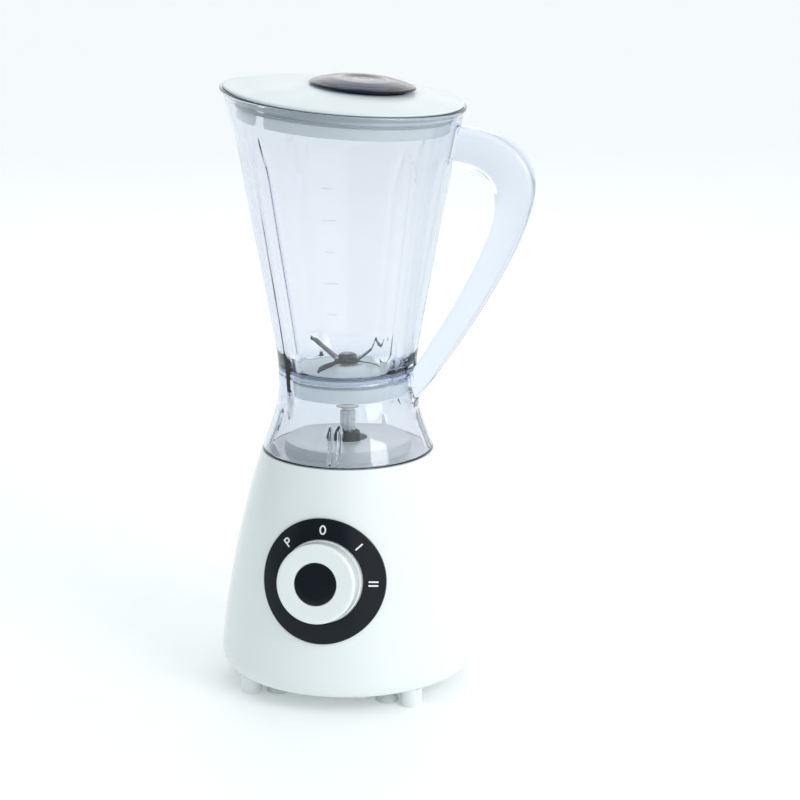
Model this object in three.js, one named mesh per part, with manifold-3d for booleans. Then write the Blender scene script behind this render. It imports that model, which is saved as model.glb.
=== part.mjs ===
// A countertop blender: white motor base with a dial, clear fluted jug, lid and measuring cap.
// Millimetres, +Z up. The front with the dial faces -Y, the jug's handle points to +X and its
// spout to -X. The origin is at the middle of the bounding box, on the surface it stands on.
// Inside, heights count from FEET.below over that surface, and x and y from the upright axis.
import * as THREE from 'three';
import { mergeVertices } from 'three/addons/utils/BufferGeometryUtils.js';
import Module from 'manifold-3d';

const wasm = await Module();
wasm.setup();

// ---------------------------------------------------------------- driving dimensions
const GAP = 0.35;              // air left between two pieces that touch in the real object
const ROUND = 16;              // sides of small turned pieces
const BODY_ROUND = 36;         // sides of the base, the lid and the cap
const JUG_ROUND = 52;          // sides of the jug, so that a vertex column runs down each flute

const BASE = {                 // motor base, a convex cone
  wideR: 81.7, wideZ: 17, topR: 54.5, topZ: 148.2, lipR: 76, bottomZ: 8.6, wall: 2.6,
  straight: 0.46,              // share of the flank's taper that is straight, the rest is curved
};
const PLINTH = { r: 39.4, topZ: 154.4, wellR: 12, wellZ: 147.4, shaftHoleR: 5.2 };
const FEET = {
  below: 3.7,                  // how far the worktop lies under the level that heights count from
  postX: 52, postY: 49, postR: 7, cupX: 35.5, cupY: 44.5, cupR: 7.6,
};
const COVER = {
  r: 75.25, lowZ: 8.8, thick: 2.6, vents: 12, ventLength: 22, ventWidth: 3.4, ventR: 40,
  firstVent: 15,
};
const SCREW = {
  count: 4, r: 2, headR: 3.8, headHeight: 2.2, orbit: 71.5, firstTurn: 20,
  pillarR: 6.5, pillarTop: 30,
};
const GLAND = { r: 6.5, boreR: 3.6, flangeR: 9, flangeThick: 3.4, z: 34, backY: 84.5 };

const DIAL = {
  z: 81.8, ringR: 39, innerR: 26, ringThick: 1.1, bossR: 25.5, bossRise: 1.2, bossDepth: 9,
  halfSpan: 45,                // the dial's pieces lie within this height of its centre
};
const KNOB = { r: 25, reach: 14.5, wall: 2.2, capR: 13, faceWall: 1.6, hubR: 6, shaftR: 3 };
const SWITCH = { side: 32, depth: 18, behind: 3.4, nutR: 6.6, nutThick: 1.8 };

const JUG = {                  // one clear moulding: cone, waist and flared skirt
  footZ: 148.6, waistR: 43.1, waistZ: 190, flare: 11.4, rimZ: 370.6, wall: 2.6,
  slope: 0.1818, slopeStartZ: 207, slopeBlend: 88,
  seatR: 38.6, seatLowZ: 186, ledgeR: 34.5, ledgeLowZ: 197.2, ledgeTopZ: 200.2,
};
const FLUTE = { depth: 2.6, lowZ: 170, highZ: 352, fade: 12 };
const SPOUT = { reach: 5, spread: 20, startZ: 335 };
const RIM_SLOPE = 0.077;       // the rim and the lid fall towards the handle by this much
const HANDLE = {
  thick: 17, reach: 117.2, reachZ: 318, topZ: 355, underTopZ: 331, lowZ: 178, overLowZ: 203,
};
const CARRIER = { lowZ: 180, stepZ: 194.6, floorZ: 190.4, neckZ: 199.6, bushR: 7 };
const LID = {
  r: 72.6, rise: 7.5, skirtR: 65.6, skirtDrop: 15.5, skirtWall: 2.2, collarTop: 5,
  sealR: 67.7, sealLow: -8.4, sealHigh: -6,
};
const CAP = { offset: 10, r: 33, cupR: 26.4, wall: 2, drop: 12, topRise: 12.9, seat: 7.9 };

const SHAFT_R = 4;             // motor shaft and blade spindle
const COUPLING = { r: 7.6, bottomZ: 150.4, topZ: 158.4, recessZ: 153.4, lobeR: 5, lobeDip: 1 };
const STATOR = {
  x: 80, y: 62, lowZ: 62, highZ: 94.7, boreR: 20.8, slotX: 10, slotY: 9.9, slotAtX: 26.5,
  slotAtY: 19.5,
};
const COIL = { halfY: 24, innerY: 15, thick: 9, overhang: 8 };
const BRACKET = { wide: 30, leg: 8, thick: 8, upperZ: 112, lowerZ: 42 };
const BEARING = { r: 11, inset: 0.5 };
const BRUSH = { z: 103, y: 16.5, wide: 5, long: 14, high: 7 };
const HOLDER = { y: 24, wide: 9, long: 18, high: 11, slotWide: 5.8, slotHigh: 7.8 };
const MOTOR_MOUNT = { r: 5, x: 30 };
const ROTOR_R = 20;
const COMMUTATOR = { r: 9, lowZ: 98, highZ: 109 };
const FAN = { lowZ: 27, highZ: 38, hubR: 9, r: 34, discThick: 2, blades: 9, bladeThick: 1.6 };
const BLADE = {
  neckZ: 201, reach: 25, width: 9, thick: 1.6, lift: 14, drop: 8.5, flat: 7, root: 6.5,
  pinR: 3, shorten: 0.12, tipSlant: 3, tipFront: 0.35, tipBack: 0.75, lowerTurn: 44,
  upperTurn: 5, washerR: 6.4, washerThick: 1.25, nutR: 6, nutRise: 2.8,
};

const RIM_TILT = Math.atan(RIM_SLOPE);
const DEGREE = Math.PI / 180;

// ---------------------------------------------------------------- finishes
function finish(hex, roughness, metalness = 0) {
  return new THREE.MeshStandardMaterial({ color: hex, roughness, metalness });
}

function clearPlastic(hex, opacity) {
  const material = finish(hex, 0.05);
  material.transparent = true;
  material.opacity = opacity;
  return material;
}

const white = () => finish(0xf4f7f8, 0.2);
const blackGloss = () => finish(0x101216, 0.25);
const blackRubber = () => finish(0x1b1c1e, 0.8);
const greyRubber = () => finish(0xc9d0d1, 0.75);
const clearBlue = () => clearPlastic(0xdfe4f2, 0.35);
const steel = () => finish(0xc8cccf, 0.28, 1);
const copper = () => finish(0xb5693a, 0.45, 1);
const lamination = () => finish(0x70757a, 0.5, 0.8);
const brass = () => finish(0xc9a24a, 0.35, 1);
const darkPlastic = () => finish(0x2b2d30, 0.55);

// ---------------------------------------------------------------- geometry helpers
function outward(geometry) {
  const whole = geometry.index ? geometry.toNonIndexed() : geometry;
  const place = whole.attributes.position;
  const a = new THREE.Vector3();
  const b = new THREE.Vector3();
  const c = new THREE.Vector3();
  let volume = 0;
  for (let i = 0; i < place.count; i += 3) {
    a.fromBufferAttribute(place, i);
    b.fromBufferAttribute(place, i + 1);
    c.fromBufferAttribute(place, i + 2);
    volume += a.dot(b.cross(c));
  }
  if (volume < 0) {
    for (let i = 0; i < place.count; i += 3) {
      b.fromBufferAttribute(place, i + 1);
      c.fromBufferAttribute(place, i + 2);
      place.setXYZ(i + 1, c.x, c.y, c.z);
      place.setXYZ(i + 2, b.x, b.y, b.z);
    }
  }
  whole.deleteAttribute('normal');
  whole.deleteAttribute('uv');
  return mergeVertices(whole, 1e-4);
}

// A turned piece about +Z. The section is a list of [radius, height]; it closes on itself unless
// both ends are on the axis. Its first column of vertices is at the front, -Y.
function turned(section, sides = ROUND) {
  const points = section.map(([r, z]) => new THREE.Vector2(r, z));
  const solidToAxis = section[0][0] === 0 && section[section.length - 1][0] === 0;
  if (!solidToAxis) points.push(points[0].clone());
  return outward(new THREE.LatheGeometry(points, sides).rotateX(Math.PI / 2));
}

function disc(r, low, high, sides = ROUND) {
  return turned([[0, low], [r, low], [r, high], [0, high]], sides);
}

function ring(inner, outer, low, high, sides = ROUND) {
  return turned([[inner, low], [outer, low], [outer, high], [inner, high]], sides);
}

function box(x, y, z, cx = 0, cy = 0, cz = 0) {
  return outward(new THREE.BoxGeometry(x, y, z).translate(cx, cy, cz));
}

function reshape(geometry, move) {
  const place = geometry.attributes.position;
  const point = new THREE.Vector3();
  for (let i = 0; i < place.count; i += 1) {
    point.fromBufferAttribute(place, i);
    move(point);
    place.setXYZ(i, point.x, point.y, point.z);
  }
  return geometry;
}

function toSolid(geometry) {
  const vertProperties = new Float32Array(geometry.attributes.position.array);
  const triVerts = new Uint32Array(geometry.index.array);
  return new wasm.Manifold(new wasm.Mesh({ numProp: 3, vertProperties, triVerts }));
}

function toGeometry(solid) {
  const mesh = solid.getMesh();
  const geometry = new THREE.BufferGeometry();
  geometry.setAttribute('position', new THREE.BufferAttribute(mesh.vertProperties, 3));
  geometry.setIndex(new THREE.BufferAttribute(mesh.triVerts, 1));
  return geometry;
}

function join(first, ...others) {
  return toGeometry(others.reduce((solid, piece) => solid.add(toSolid(piece)), toSolid(first)));
}

function cut(first, ...others) {
  return toGeometry(others.reduce((solid, piece) => solid.subtract(toSolid(piece)), toSolid(first)));
}

function common(first, second) {
  return toGeometry(toSolid(first).intersect(toSolid(second)));
}

const blender = new THREE.Group();
blender.position.set(
  (BASE.wideR - HANDLE.reach) / 2,
  (knobFrontReach() - GLAND.backY) / 2,
  FEET.below,
);

function piece(name, geometry, material, parent = blender) {
  const mesh = new THREE.Mesh(geometry, material);
  mesh.name = name;
  parent.add(mesh);
  return mesh;
}

// ---------------------------------------------------------------- shapes shared by pieces
function flankRadius(z) {
  const t = (z - BASE.wideZ) / (BASE.topZ - BASE.wideZ);
  const taper = BASE.straight * t + (1 - BASE.straight) * t * t;
  return BASE.wideR - (BASE.wideR - BASE.topR) * taper;
}

function flankHeights(low, high, steps) {
  return Array.from({ length: steps + 1 }, (_, i) => low + ((high - low) * i) / steps);
}

function dialTilt() {
  const rise = 10;
  return Math.atan((flankRadius(DIAL.z - rise) - flankRadius(DIAL.z + rise)) / (2 * rise));
}

function knobFrontReach() {
  const tilt = dialTilt();
  return flankRadius(DIAL.z) + KNOB.reach * Math.cos(tilt) + KNOB.r * Math.sin(tilt);
}

// Turns a geometry made about +Z so that +Z points out of the dial's centre.
function onDial(geometry) {
  geometry.rotateX(Math.PI / 2 - dialTilt());
  return geometry.translate(0, -flankRadius(DIAL.z), DIAL.z);
}

function jugRadius(z) {
  if (z < JUG.waistZ) {
    const down = (JUG.waistZ - z) / (JUG.waistZ - JUG.footZ);
    return JUG.waistR + JUG.flare * down ** 1.6;
  }
  const x = z - JUG.slopeStartZ;
  return JUG.waistR + (JUG.slope * (Math.sqrt(x * x + JUG.slopeBlend) + x)) / 2;
}

function smoothStep(low, high, value) {
  const t = Math.min(1, Math.max(0, (value - low) / (high - low)));
  return t * t * (3 - 2 * t);
}

// The spout: the rim swells outwards around -X, more towards the top.
function swellSpout(point, strength) {
  const angle = Math.atan2(point.y, -point.x) / DEGREE;
  const swell = SPOUT.reach * strength * Math.exp(-((angle / SPOUT.spread) ** 2));
  const r = Math.hypot(point.x, point.y);
  if (r < 1) return;
  point.x *= (r + swell) / r;
  point.y *= (r + swell) / r;
}

// ---------------------------------------------------------------- motor base
function baseHousing() {
  const outer = [
    [BASE.lipR, BASE.bottomZ], [BASE.lipR + 3.2, BASE.bottomZ + 0.7],
    [BASE.wideR - 0.9, BASE.bottomZ + 3.6],
    ...flankHeights(BASE.wideZ, BASE.topZ - 0.8, 6).map((z) => [flankRadius(z), z]),
    [BASE.topR - 0.6, BASE.topZ],
  ];
  const top = [
    [PLINTH.r + 0.6, BASE.topZ], [PLINTH.r, PLINTH.topZ - 1], [PLINTH.r - 1, PLINTH.topZ],
    [PLINTH.wellR, PLINTH.topZ], [PLINTH.wellR, PLINTH.wellZ], [PLINTH.shaftHoleR, PLINTH.wellZ],
    [PLINTH.shaftHoleR, PLINTH.wellZ - BASE.wall],
    [PLINTH.wellR + BASE.wall, PLINTH.wellZ - BASE.wall],
    [PLINTH.wellR + BASE.wall, PLINTH.topZ - BASE.wall],
    [PLINTH.r - BASE.wall, PLINTH.topZ - BASE.wall],
  ];
  const inner = flankHeights(BASE.topZ - BASE.wall, BASE.wideZ, 3)
    .map((z) => [flankRadius(z) - BASE.wall, z]);
  const floor = [[BASE.lipR + 0.6, BASE.bottomZ + 3]];
  let shell = turned([...outer, ...top, [PLINTH.r - BASE.wall, BASE.topZ - BASE.wall], ...inner,
    ...floor], BODY_ROUND);
  const low = DIAL.z - DIAL.halfSpan;
  const high = DIAL.z + DIAL.halfSpan;
  const boss = onDial(disc(DIAL.bossR, -DIAL.bossDepth, DIAL.bossRise, 24));
  const bossInside = turned([
    [0, low],
    ...flankHeights(low, high, 2).map((z) => [flankRadius(z) - BASE.wall, z]),
    [0, high],
  ], BODY_ROUND);
  shell = join(shell, cut(boss, bossInside));
  for (let i = 0; i < SCREW.count; i += 1) {
    const pillar = ring(SCREW.r + 0.5, SCREW.pillarR, COVER.lowZ + COVER.thick + 0.6,
      SCREW.pillarTop, 16);
    shell = join(shell, atScrew(pillar, i));
  }
  const shaftHole = onDial(disc(KNOB.shaftR + 1, -DIAL.bossDepth - 3, DIAL.bossRise + 1));
  const inletStart = 65;
  const inlet = disc(GLAND.r + GAP, 0, 30).rotateX(-Math.PI / 2);
  return cut(shell, shaftHole, inlet.translate(0, inletStart, GLAND.z));
}

// Moves a geometry made about +Z to the place of a cover screw.
function atScrew(geometry, number) {
  const turn = (SCREW.firstTurn + (360 / SCREW.count) * number) * DEGREE;
  return geometry.translate(SCREW.orbit, 0, 0).rotateZ(turn);
}

function bottomCover() {
  const low = COVER.lowZ;
  let plate = disc(COVER.r, low, low + COVER.thick, BODY_ROUND);
  for (let i = 0; i < COVER.vents; i += 1) {
    const vent = box(COVER.ventLength, COVER.ventWidth, 4 * COVER.thick, COVER.ventR, 0, low);
    const turn = (COVER.firstVent + (360 / COVER.vents) * i) * DEGREE;
    plate = cut(plate, vent.rotateZ(turn));
  }
  for (let i = 0; i < SCREW.count; i += 1) {
    const hole = disc(SCREW.r + 0.5, low - COVER.thick, low + 2 * COVER.thick, 16);
    plate = cut(plate, atScrew(hole, i));
  }
  return plate;
}

function buildBase() {
  piece('base_housing', baseHousing(), white());
  piece('base_bottom_cover', bottomCover(), white());

  const footTop = COVER.lowZ - GAP;
  const ground = -FEET.below;
  for (const [side, sx] of [['left', -1], ['right', 1]]) {
    for (const [end, sy] of [['front', -1], ['rear', 1]]) {
      const post = turned([[0, ground], [FEET.postR - 1.2, ground],
        [FEET.postR - 0.2, ground + 1], [FEET.postR, footTop], [0, footTop]], 18);
      piece(`foot_${end}_${side}`, post.translate(sx * FEET.postX, sy * FEET.postY, 0), white());
      const cup = turned([[0, ground + 2.2], [4, ground + 1.8], [FEET.cupR - 1, ground],
        [FEET.cupR, ground + 0.3], [FEET.cupR - 0.6, ground + 3.4], [5, ground + 6],
        [4.4, footTop], [0, footTop]], 18);
      piece(`suction_cup_${end}_${side}`,
        cup.translate(sx * FEET.cupX, sy * FEET.cupY, 0), greyRubber());
    }
  }

  const screwTip = SCREW.pillarTop - 8;
  for (let i = 0; i < SCREW.count; i += 1) {
    const screw = turned([[0, footTop - SCREW.headHeight],
      [SCREW.headR, footTop - SCREW.headHeight + 0.6], [SCREW.headR, footTop],
      [SCREW.r, footTop], [SCREW.r, screwTip], [0, screwTip]], 14);
    piece(`cover_screw_${i + 1}`, atScrew(screw, i), steel());
  }

  const tube = cut(onDial(disc(DIAL.ringR, -25, 10, 32)), onDial(disc(DIAL.innerR, -26, 11, 24)));
  const heights = flankHeights(DIAL.z - DIAL.halfSpan, DIAL.z + DIAL.halfSpan, 3);
  const skin = turned([
    ...heights.map((z) => [flankRadius(z) + GAP + DIAL.ringThick, z]),
    ...heights.reverse().map((z) => [flankRadius(z) + GAP, z]),
  ], BODY_ROUND);
  const frontSide = 100;
  const front = box(frontSide, frontSide, frontSide, 0, -frontSide / 2 - 10, DIAL.z);
  piece('dial_ring', common(common(skin, front), tube), blackGloss());

  const gland = turned([[GLAND.boreR, -6], [GLAND.r - 0.6, -6], [GLAND.r - 0.6, 0.5],
    [GLAND.flangeR, 0.5], [GLAND.flangeR - 1, GLAND.flangeThick],
    [GLAND.boreR + 1, GLAND.flangeThick], [GLAND.boreR, GLAND.flangeThick - 0.8]]);
  gland.rotateX(-Math.PI / 2).translate(0, GLAND.backY - GLAND.flangeThick, GLAND.z);
  piece('cord_gland', gland, blackRubber());
}

function buildSwitch() {
  const front = -(BASE.wall + SWITCH.behind);
  const body = box(SWITCH.side, SWITCH.side, SWITCH.depth, 0, 0, front - SWITCH.depth / 2);
  const socket = disc(KNOB.shaftR + GAP, front - SWITCH.depth / 3, front + 1);
  piece('rotary_switch', onDial(cut(body, socket)), darkPlastic());
  piece('switch_nut', onDial(ring(KNOB.shaftR + 0.8, SWITCH.nutR, DIAL.bossRise + GAP,
    DIAL.bossRise + 1.2 + SWITCH.nutThick, 6)), steel());
}

// ---------------------------------------------------------------- motor, fixed parts
// A bar across the motor that holds a bearing, with a leg at each end from legLow to legHigh.
function bracket(low, legLow, legHigh) {
  const high = low + BRACKET.thick;
  const half = (STATOR.x - BRACKET.leg) / 2;
  const bar = box(STATOR.x, BRACKET.wide, BRACKET.thick, 0, 0, (low + high) / 2);
  const legs = [-half, half].map((x) => box(BRACKET.leg, BRACKET.wide, legHigh - legLow,
    x, 0, (legLow + legHigh) / 2));
  const bearingHole = disc(BEARING.r + GAP, low - 1, high + 1, 24);
  return cut(join(bar, ...legs), bearingHole);
}

function bearing(bracketLow) {
  return ring(SHAFT_R + GAP, BEARING.r, bracketLow + BEARING.inset,
    bracketLow + BRACKET.thick - BEARING.inset);
}

function fieldCoil(side) {
  const shape = new THREE.Shape();
  const { halfY, innerY } = COIL;
  const top = STATOR.highZ + COIL.overhang;
  const bottom = STATOR.lowZ - COIL.overhang;
  shape.moveTo(-halfY, bottom).lineTo(halfY, bottom).lineTo(halfY, top).lineTo(-halfY, top);
  const window = new THREE.Path();
  window.moveTo(-innerY, STATOR.lowZ - GAP).lineTo(-innerY, STATOR.highZ + GAP);
  window.lineTo(innerY, STATOR.highZ + GAP).lineTo(innerY, STATOR.lowZ - GAP);
  shape.holes.push(window);
  const coil = new THREE.ExtrudeGeometry(shape, { depth: COIL.thick, bevelEnabled: false });
  coil.rotateX(Math.PI / 2).rotateZ(Math.PI / 2);
  return outward(coil.translate(side * STATOR.slotAtX - COIL.thick / 2, 0, 0));
}

function buildMotor() {
  const height = STATOR.highZ - STATOR.lowZ;
  const middle = (STATOR.highZ + STATOR.lowZ) / 2;
  let core = cut(box(STATOR.x, STATOR.y, height, 0, 0, middle),
    disc(STATOR.boreR, 0, 200, 24));
  for (const sx of [-1, 1]) {
    for (const sy of [-1, 1]) {
      core = cut(core, box(STATOR.slotX, STATOR.slotY, 2 * height,
        sx * STATOR.slotAtX, sy * STATOR.slotAtY, middle));
    }
  }
  piece('stator_core', core, lamination());
  piece('field_coil_left', fieldCoil(-1), copper());
  piece('field_coil_right', fieldCoil(1), copper());

  const lowerTop = BRACKET.lowerZ + BRACKET.thick;
  const upperTop = BRACKET.upperZ + BRACKET.thick;
  piece('upper_bearing_bracket', bracket(BRACKET.upperZ, STATOR.highZ + GAP, BRACKET.upperZ),
    lamination());
  piece('lower_bearing_bracket', bracket(BRACKET.lowerZ, lowerTop, STATOR.lowZ - GAP),
    lamination());
  piece('upper_bearing', bearing(BRACKET.upperZ), steel());
  piece('lower_bearing', bearing(BRACKET.lowerZ), steel());

  for (const [end, side] of [['front', -1], ['rear', 1]]) {
    const brush = box(BRUSH.wide, BRUSH.long, BRUSH.high, 0, side * BRUSH.y, BRUSH.z);
    const holder = cut(
      box(HOLDER.wide, HOLDER.long, HOLDER.high, 0, side * HOLDER.y, BRUSH.z),
      box(HOLDER.slotWide, 2 * HOLDER.long, HOLDER.slotHigh, 0, side * HOLDER.y, BRUSH.z),
    );
    piece(`carbon_brush_${end}`, brush, darkPlastic());
    piece(`brush_holder_${end}`, holder, brass());
  }
  for (const [end, side] of [['left', -1], ['right', 1]]) {
    const mount = disc(MOTOR_MOUNT.r, upperTop + GAP, BASE.topZ - BASE.wall - GAP);
    piece(`motor_mount_${end}`, mount.translate(side * MOTOR_MOUNT.x, 0, 0), blackRubber());
  }

  const floorTop = COVER.lowZ + COVER.thick + GAP;
  piece('terminal_block', box(30, 14, 12, 0, 52, floorTop + 6), darkPlastic());
  piece('suppressor_capacitor', box(20, 9, 15, 34, 44, floorTop + 7.5), finish(0xd8b13c, 0.5));
  piece('cord_clamp', box(22, 8, 6, 0, 66, floorTop + 3), darkPlastic());
}

// ---------------------------------------------------------------- motor, spinning parts
function lobedOutline(r, dip, lobes, steps) {
  const points = [];
  for (let i = 0; i < steps; i += 1) {
    const angle = (i / steps) * 2 * Math.PI;
    const reach = r - (dip * (1 - Math.cos(lobes * angle))) / 2;
    points.push(new THREE.Vector2(reach * Math.cos(angle), reach * Math.sin(angle)));
  }
  return new THREE.Shape(points);
}

function lobedRod(r, dip, low, high) {
  const rod = new THREE.ExtrudeGeometry(lobedOutline(r, dip, 6, 36),
    { depth: high - low, bevelEnabled: false });
  return outward(rod.translate(0, 0, low));
}

function coolingFan() {
  const low = FAN.lowZ;
  const high = FAN.highZ;
  const under = high - FAN.discThick;
  let fan = turned([[SHAFT_R + GAP, low], [FAN.hubR, low], [FAN.hubR, under - 0.4],
    [FAN.r, under], [FAN.r, high], [SHAFT_R + GAP, high]], 24);
  const bladeX = FAN.r - FAN.hubR - 1;
  for (let i = 0; i < FAN.blades; i += 1) {
    const vane = box(bladeX, FAN.bladeThick, high - low - 1, (FAN.hubR + FAN.r) / 2, 0,
      (low + high - 1) / 2);
    fan = join(fan, vane.rotateZ((i / FAN.blades) * 2 * Math.PI));
  }
  return fan;
}

function buildRotor() {
  piece('motor_shaft', disc(SHAFT_R, FAN.lowZ - 3, COUPLING.bottomZ + 2), steel());
  piece('rotor_core', ring(SHAFT_R + GAP, ROTOR_R, STATOR.lowZ, STATOR.highZ, 24), lamination());
  piece('commutator', ring(SHAFT_R + GAP, COMMUTATOR.r, COMMUTATOR.lowZ, COMMUTATOR.highZ),
    copper());
  piece('cooling_fan', coolingFan(), darkPlastic());
  piece('splash_slinger', ring(SHAFT_R + GAP, 10, PLINTH.wellZ + 0.6, COUPLING.bottomZ - 0.6),
    blackRubber());
  const cup = disc(COUPLING.r, COUPLING.bottomZ, COUPLING.topZ, 24);
  const recess = lobedRod(COUPLING.lobeR + 0.5, COUPLING.lobeDip, COUPLING.recessZ,
    COUPLING.topZ + 5);
  const bore = disc(SHAFT_R + GAP, COUPLING.bottomZ - 2, COUPLING.bottomZ + 2 + GAP);
  piece('drive_coupling', cut(cup, recess, bore), blackRubber());
}

// ---------------------------------------------------------------- knob
function buildKnob() {
  const back = DIAL.bossRise + GAP;
  const front = KNOB.reach;
  const face = front - KNOB.faceWall;
  const shaftEnd = face - 1.8;
  const under = face - 2;
  const hubBack = back + 3.4;
  const shell = turned([
    [KNOB.r - KNOB.wall, back], [KNOB.r - 0.4, back], [KNOB.r, back + 0.6],
    [KNOB.r - 0.4, face], [KNOB.r - 2, front], [KNOB.capR + GAP, front],
    [KNOB.capR + GAP, face], [0, face], [0, shaftEnd],
    [KNOB.shaftR + GAP, shaftEnd], [KNOB.shaftR + GAP, hubBack], [KNOB.hubR, hubBack],
    [KNOB.hubR, under], [KNOB.r - KNOB.wall, under],
  ], 28);
  piece('knob', onDial(shell), white());
  const capBack = face + GAP;
  piece('knob_cap', onDial(turned([[0, capBack], [KNOB.capR, capBack], [KNOB.capR, front - 0.3],
    [KNOB.capR - 1, front], [0, front]], 24)), blackGloss());
  const shaftBack = -(BASE.wall + SWITCH.behind + 2.6);
  piece('switch_shaft', onDial(disc(KNOB.shaftR, shaftBack, shaftEnd - GAP)), steel());
}

// ---------------------------------------------------------------- jug
// Presses the flutes into the outer face, swells the spout and lets the rim fall to the handle.
function jugMove(point) {
  const angle = Math.atan2(point.x, -point.y) / DEGREE;
  const r = Math.hypot(point.x, point.y);
  const column = 360 / JUG_ROUND;
  const flutes = [6, 20, 32, 46].map((n) => n * column);
  const away = Math.min(...flutes.map((f) => Math.abs(((angle - f + 540) % 360) - 180)));
  const along = smoothStep(FLUTE.lowZ, FLUTE.lowZ + FLUTE.fade, point.z)
    * (1 - smoothStep(FLUTE.highZ - FLUTE.fade, FLUTE.highZ, point.z));
  if (away < column / 2 && r > JUG.seatR + 1) {
    point.x *= (r - FLUTE.depth * along) / r;
    point.y *= (r - FLUTE.depth * along) / r;
  }
  swellSpout(point, smoothStep(SPOUT.startZ, JUG.rimZ, point.z));
  point.z -= RIM_SLOPE * point.x * smoothStep(290, JUG.rimZ - 8, point.z);
}

function jugBody() {
  const outerZ = [JUG.footZ, 155, 163, 171, 182, 196, 213, 250, 300, 340, 353, 364];
  const innerZ = [364, 353, 340, 300, 250, 213];
  const rimR = jugRadius(JUG.rimZ);
  const section = [
    ...outerZ.map((z) => [jugRadius(z), z]),
    [rimR + 0.2, JUG.rimZ - 2.4], [rimR + 1, JUG.rimZ - 1], [rimR + 0.6, JUG.rimZ],
    [rimR - JUG.wall + 0.4, JUG.rimZ],
    ...innerZ.map((z) => [jugRadius(z) - JUG.wall, z]),
    [JUG.ledgeR, JUG.ledgeTopZ], [JUG.ledgeR, JUG.ledgeLowZ], [JUG.seatR, JUG.ledgeLowZ],
    [JUG.seatR, JUG.seatLowZ], [41.5, 176], [46.5, 160], [jugRadius(JUG.footZ) - 3, JUG.footZ],
  ];
  return reshape(turned(section, JUG_ROUND), jugMove);
}

function jugHandle() {
  const { reach, reachZ, topZ, underTopZ, lowZ, overLowZ } = HANDLE;
  const topStart = 55;
  const lowStart = 30;
  const kneeX = 94.1;
  const shape = new THREE.Shape();
  shape.moveTo(topStart, topZ);
  shape.lineTo(74, topZ);
  shape.bezierCurveTo(96, topZ - 0.5, 117, 341, reach, reachZ);
  shape.bezierCurveTo(reach, 290, 84, 232, 44, lowZ);
  shape.lineTo(lowStart, lowZ);
  shape.lineTo(lowStart, overLowZ - 12);
  shape.lineTo(44, overLowZ);
  shape.bezierCurveTo(68, 240, kneeX + 0.1, 288, kneeX, 307);
  shape.bezierCurveTo(kneeX - 0.1, 324, 80, underTopZ, 62, underTopZ);
  shape.lineTo(topStart, underTopZ);
  const bar = new THREE.ExtrudeGeometry(shape,
    { depth: HANDLE.thick, bevelEnabled: false, curveSegments: 9 });
  bar.rotateX(Math.PI / 2).translate(0, HANDLE.thick / 2, 0);
  const heights = [160, 171, 182, 196, 213, 250, 300, 340, 353, 364, JUG.rimZ + 10];
  const room = turned([[0, 160], ...heights.map((z) => [jugRadius(z) + GAP, z]),
    [0, JUG.rimZ + 10]], JUG_ROUND);
  return cut(outward(bar), reshape(room, jugMove));
}

function buildJug() {
  piece('jug_body', jugBody(), clearBlue());
  piece('jug_handle', jugHandle(), clearBlue());
  const ringR = JUG.seatR - GAP;
  const { stepZ, floorZ, bushR } = CARRIER;
  const carrier = turned([
    [bushR + GAP, CARRIER.lowZ], [12, CARRIER.lowZ], [13, JUG.seatLowZ + 2],
    [ringR - 4, JUG.seatLowZ + 2],
    [ringR - 3, JUG.seatLowZ], [ringR, JUG.seatLowZ], [ringR, stepZ],
    [JUG.ledgeR - GAP, stepZ], [JUG.ledgeR - GAP, JUG.ledgeTopZ - 1],
    [JUG.ledgeR - 3, JUG.ledgeTopZ - 1.6], [JUG.ledgeR - 5, floorZ + 1], [16.5, floorZ],
    [12.5, floorZ + 5.6], [10, CARRIER.neckZ], [bushR + GAP, CARRIER.neckZ],
  ], 26);
  piece('blade_carrier', carrier, finish(0xb9c2c1, 0.45));
  piece('carrier_gasket', ring(JUG.ledgeR + GAP, ringR, stepZ + GAP, JUG.ledgeLowZ - GAP, 26),
    greyRubber());
  piece('spindle_bush', ring(SHAFT_R + GAP, bushR, CARRIER.lowZ - 2, CARRIER.neckZ - 0.2),
    brass());
}

// ---------------------------------------------------------------- blades
// Two arms rise or fall from a flat middle piece by bend at their tips, which are cut slanting.
function blade(turn, bend) {
  const { root } = BLADE;
  const half = BLADE.width / 2;
  const middle = cut(box(2 * BLADE.flat, BLADE.width, BLADE.thick, 0, 0, BLADE.thick / 2),
    disc(BLADE.pinR + GAP, -1, BLADE.thick + 1));
  const outline = new THREE.Shape();
  outline.moveTo(root, -half).lineTo(BLADE.reach, -half * BLADE.tipFront);
  outline.lineTo(BLADE.reach - BLADE.tipSlant, half * BLADE.tipBack).lineTo(root, half);
  const arm = new THREE.ExtrudeGeometry(outline, { depth: BLADE.thick, bevelEnabled: false });
  const bent = reshape(outward(arm), (point) => {
    const out = (point.x - root) / (BLADE.reach - root);
    point.z += bend * out;
    point.x -= BLADE.shorten * (point.x - root);
  });
  const opposite = bent.clone().rotateZ(Math.PI);
  return join(middle, bent, opposite).rotateZ(turn * DEGREE);
}

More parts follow.
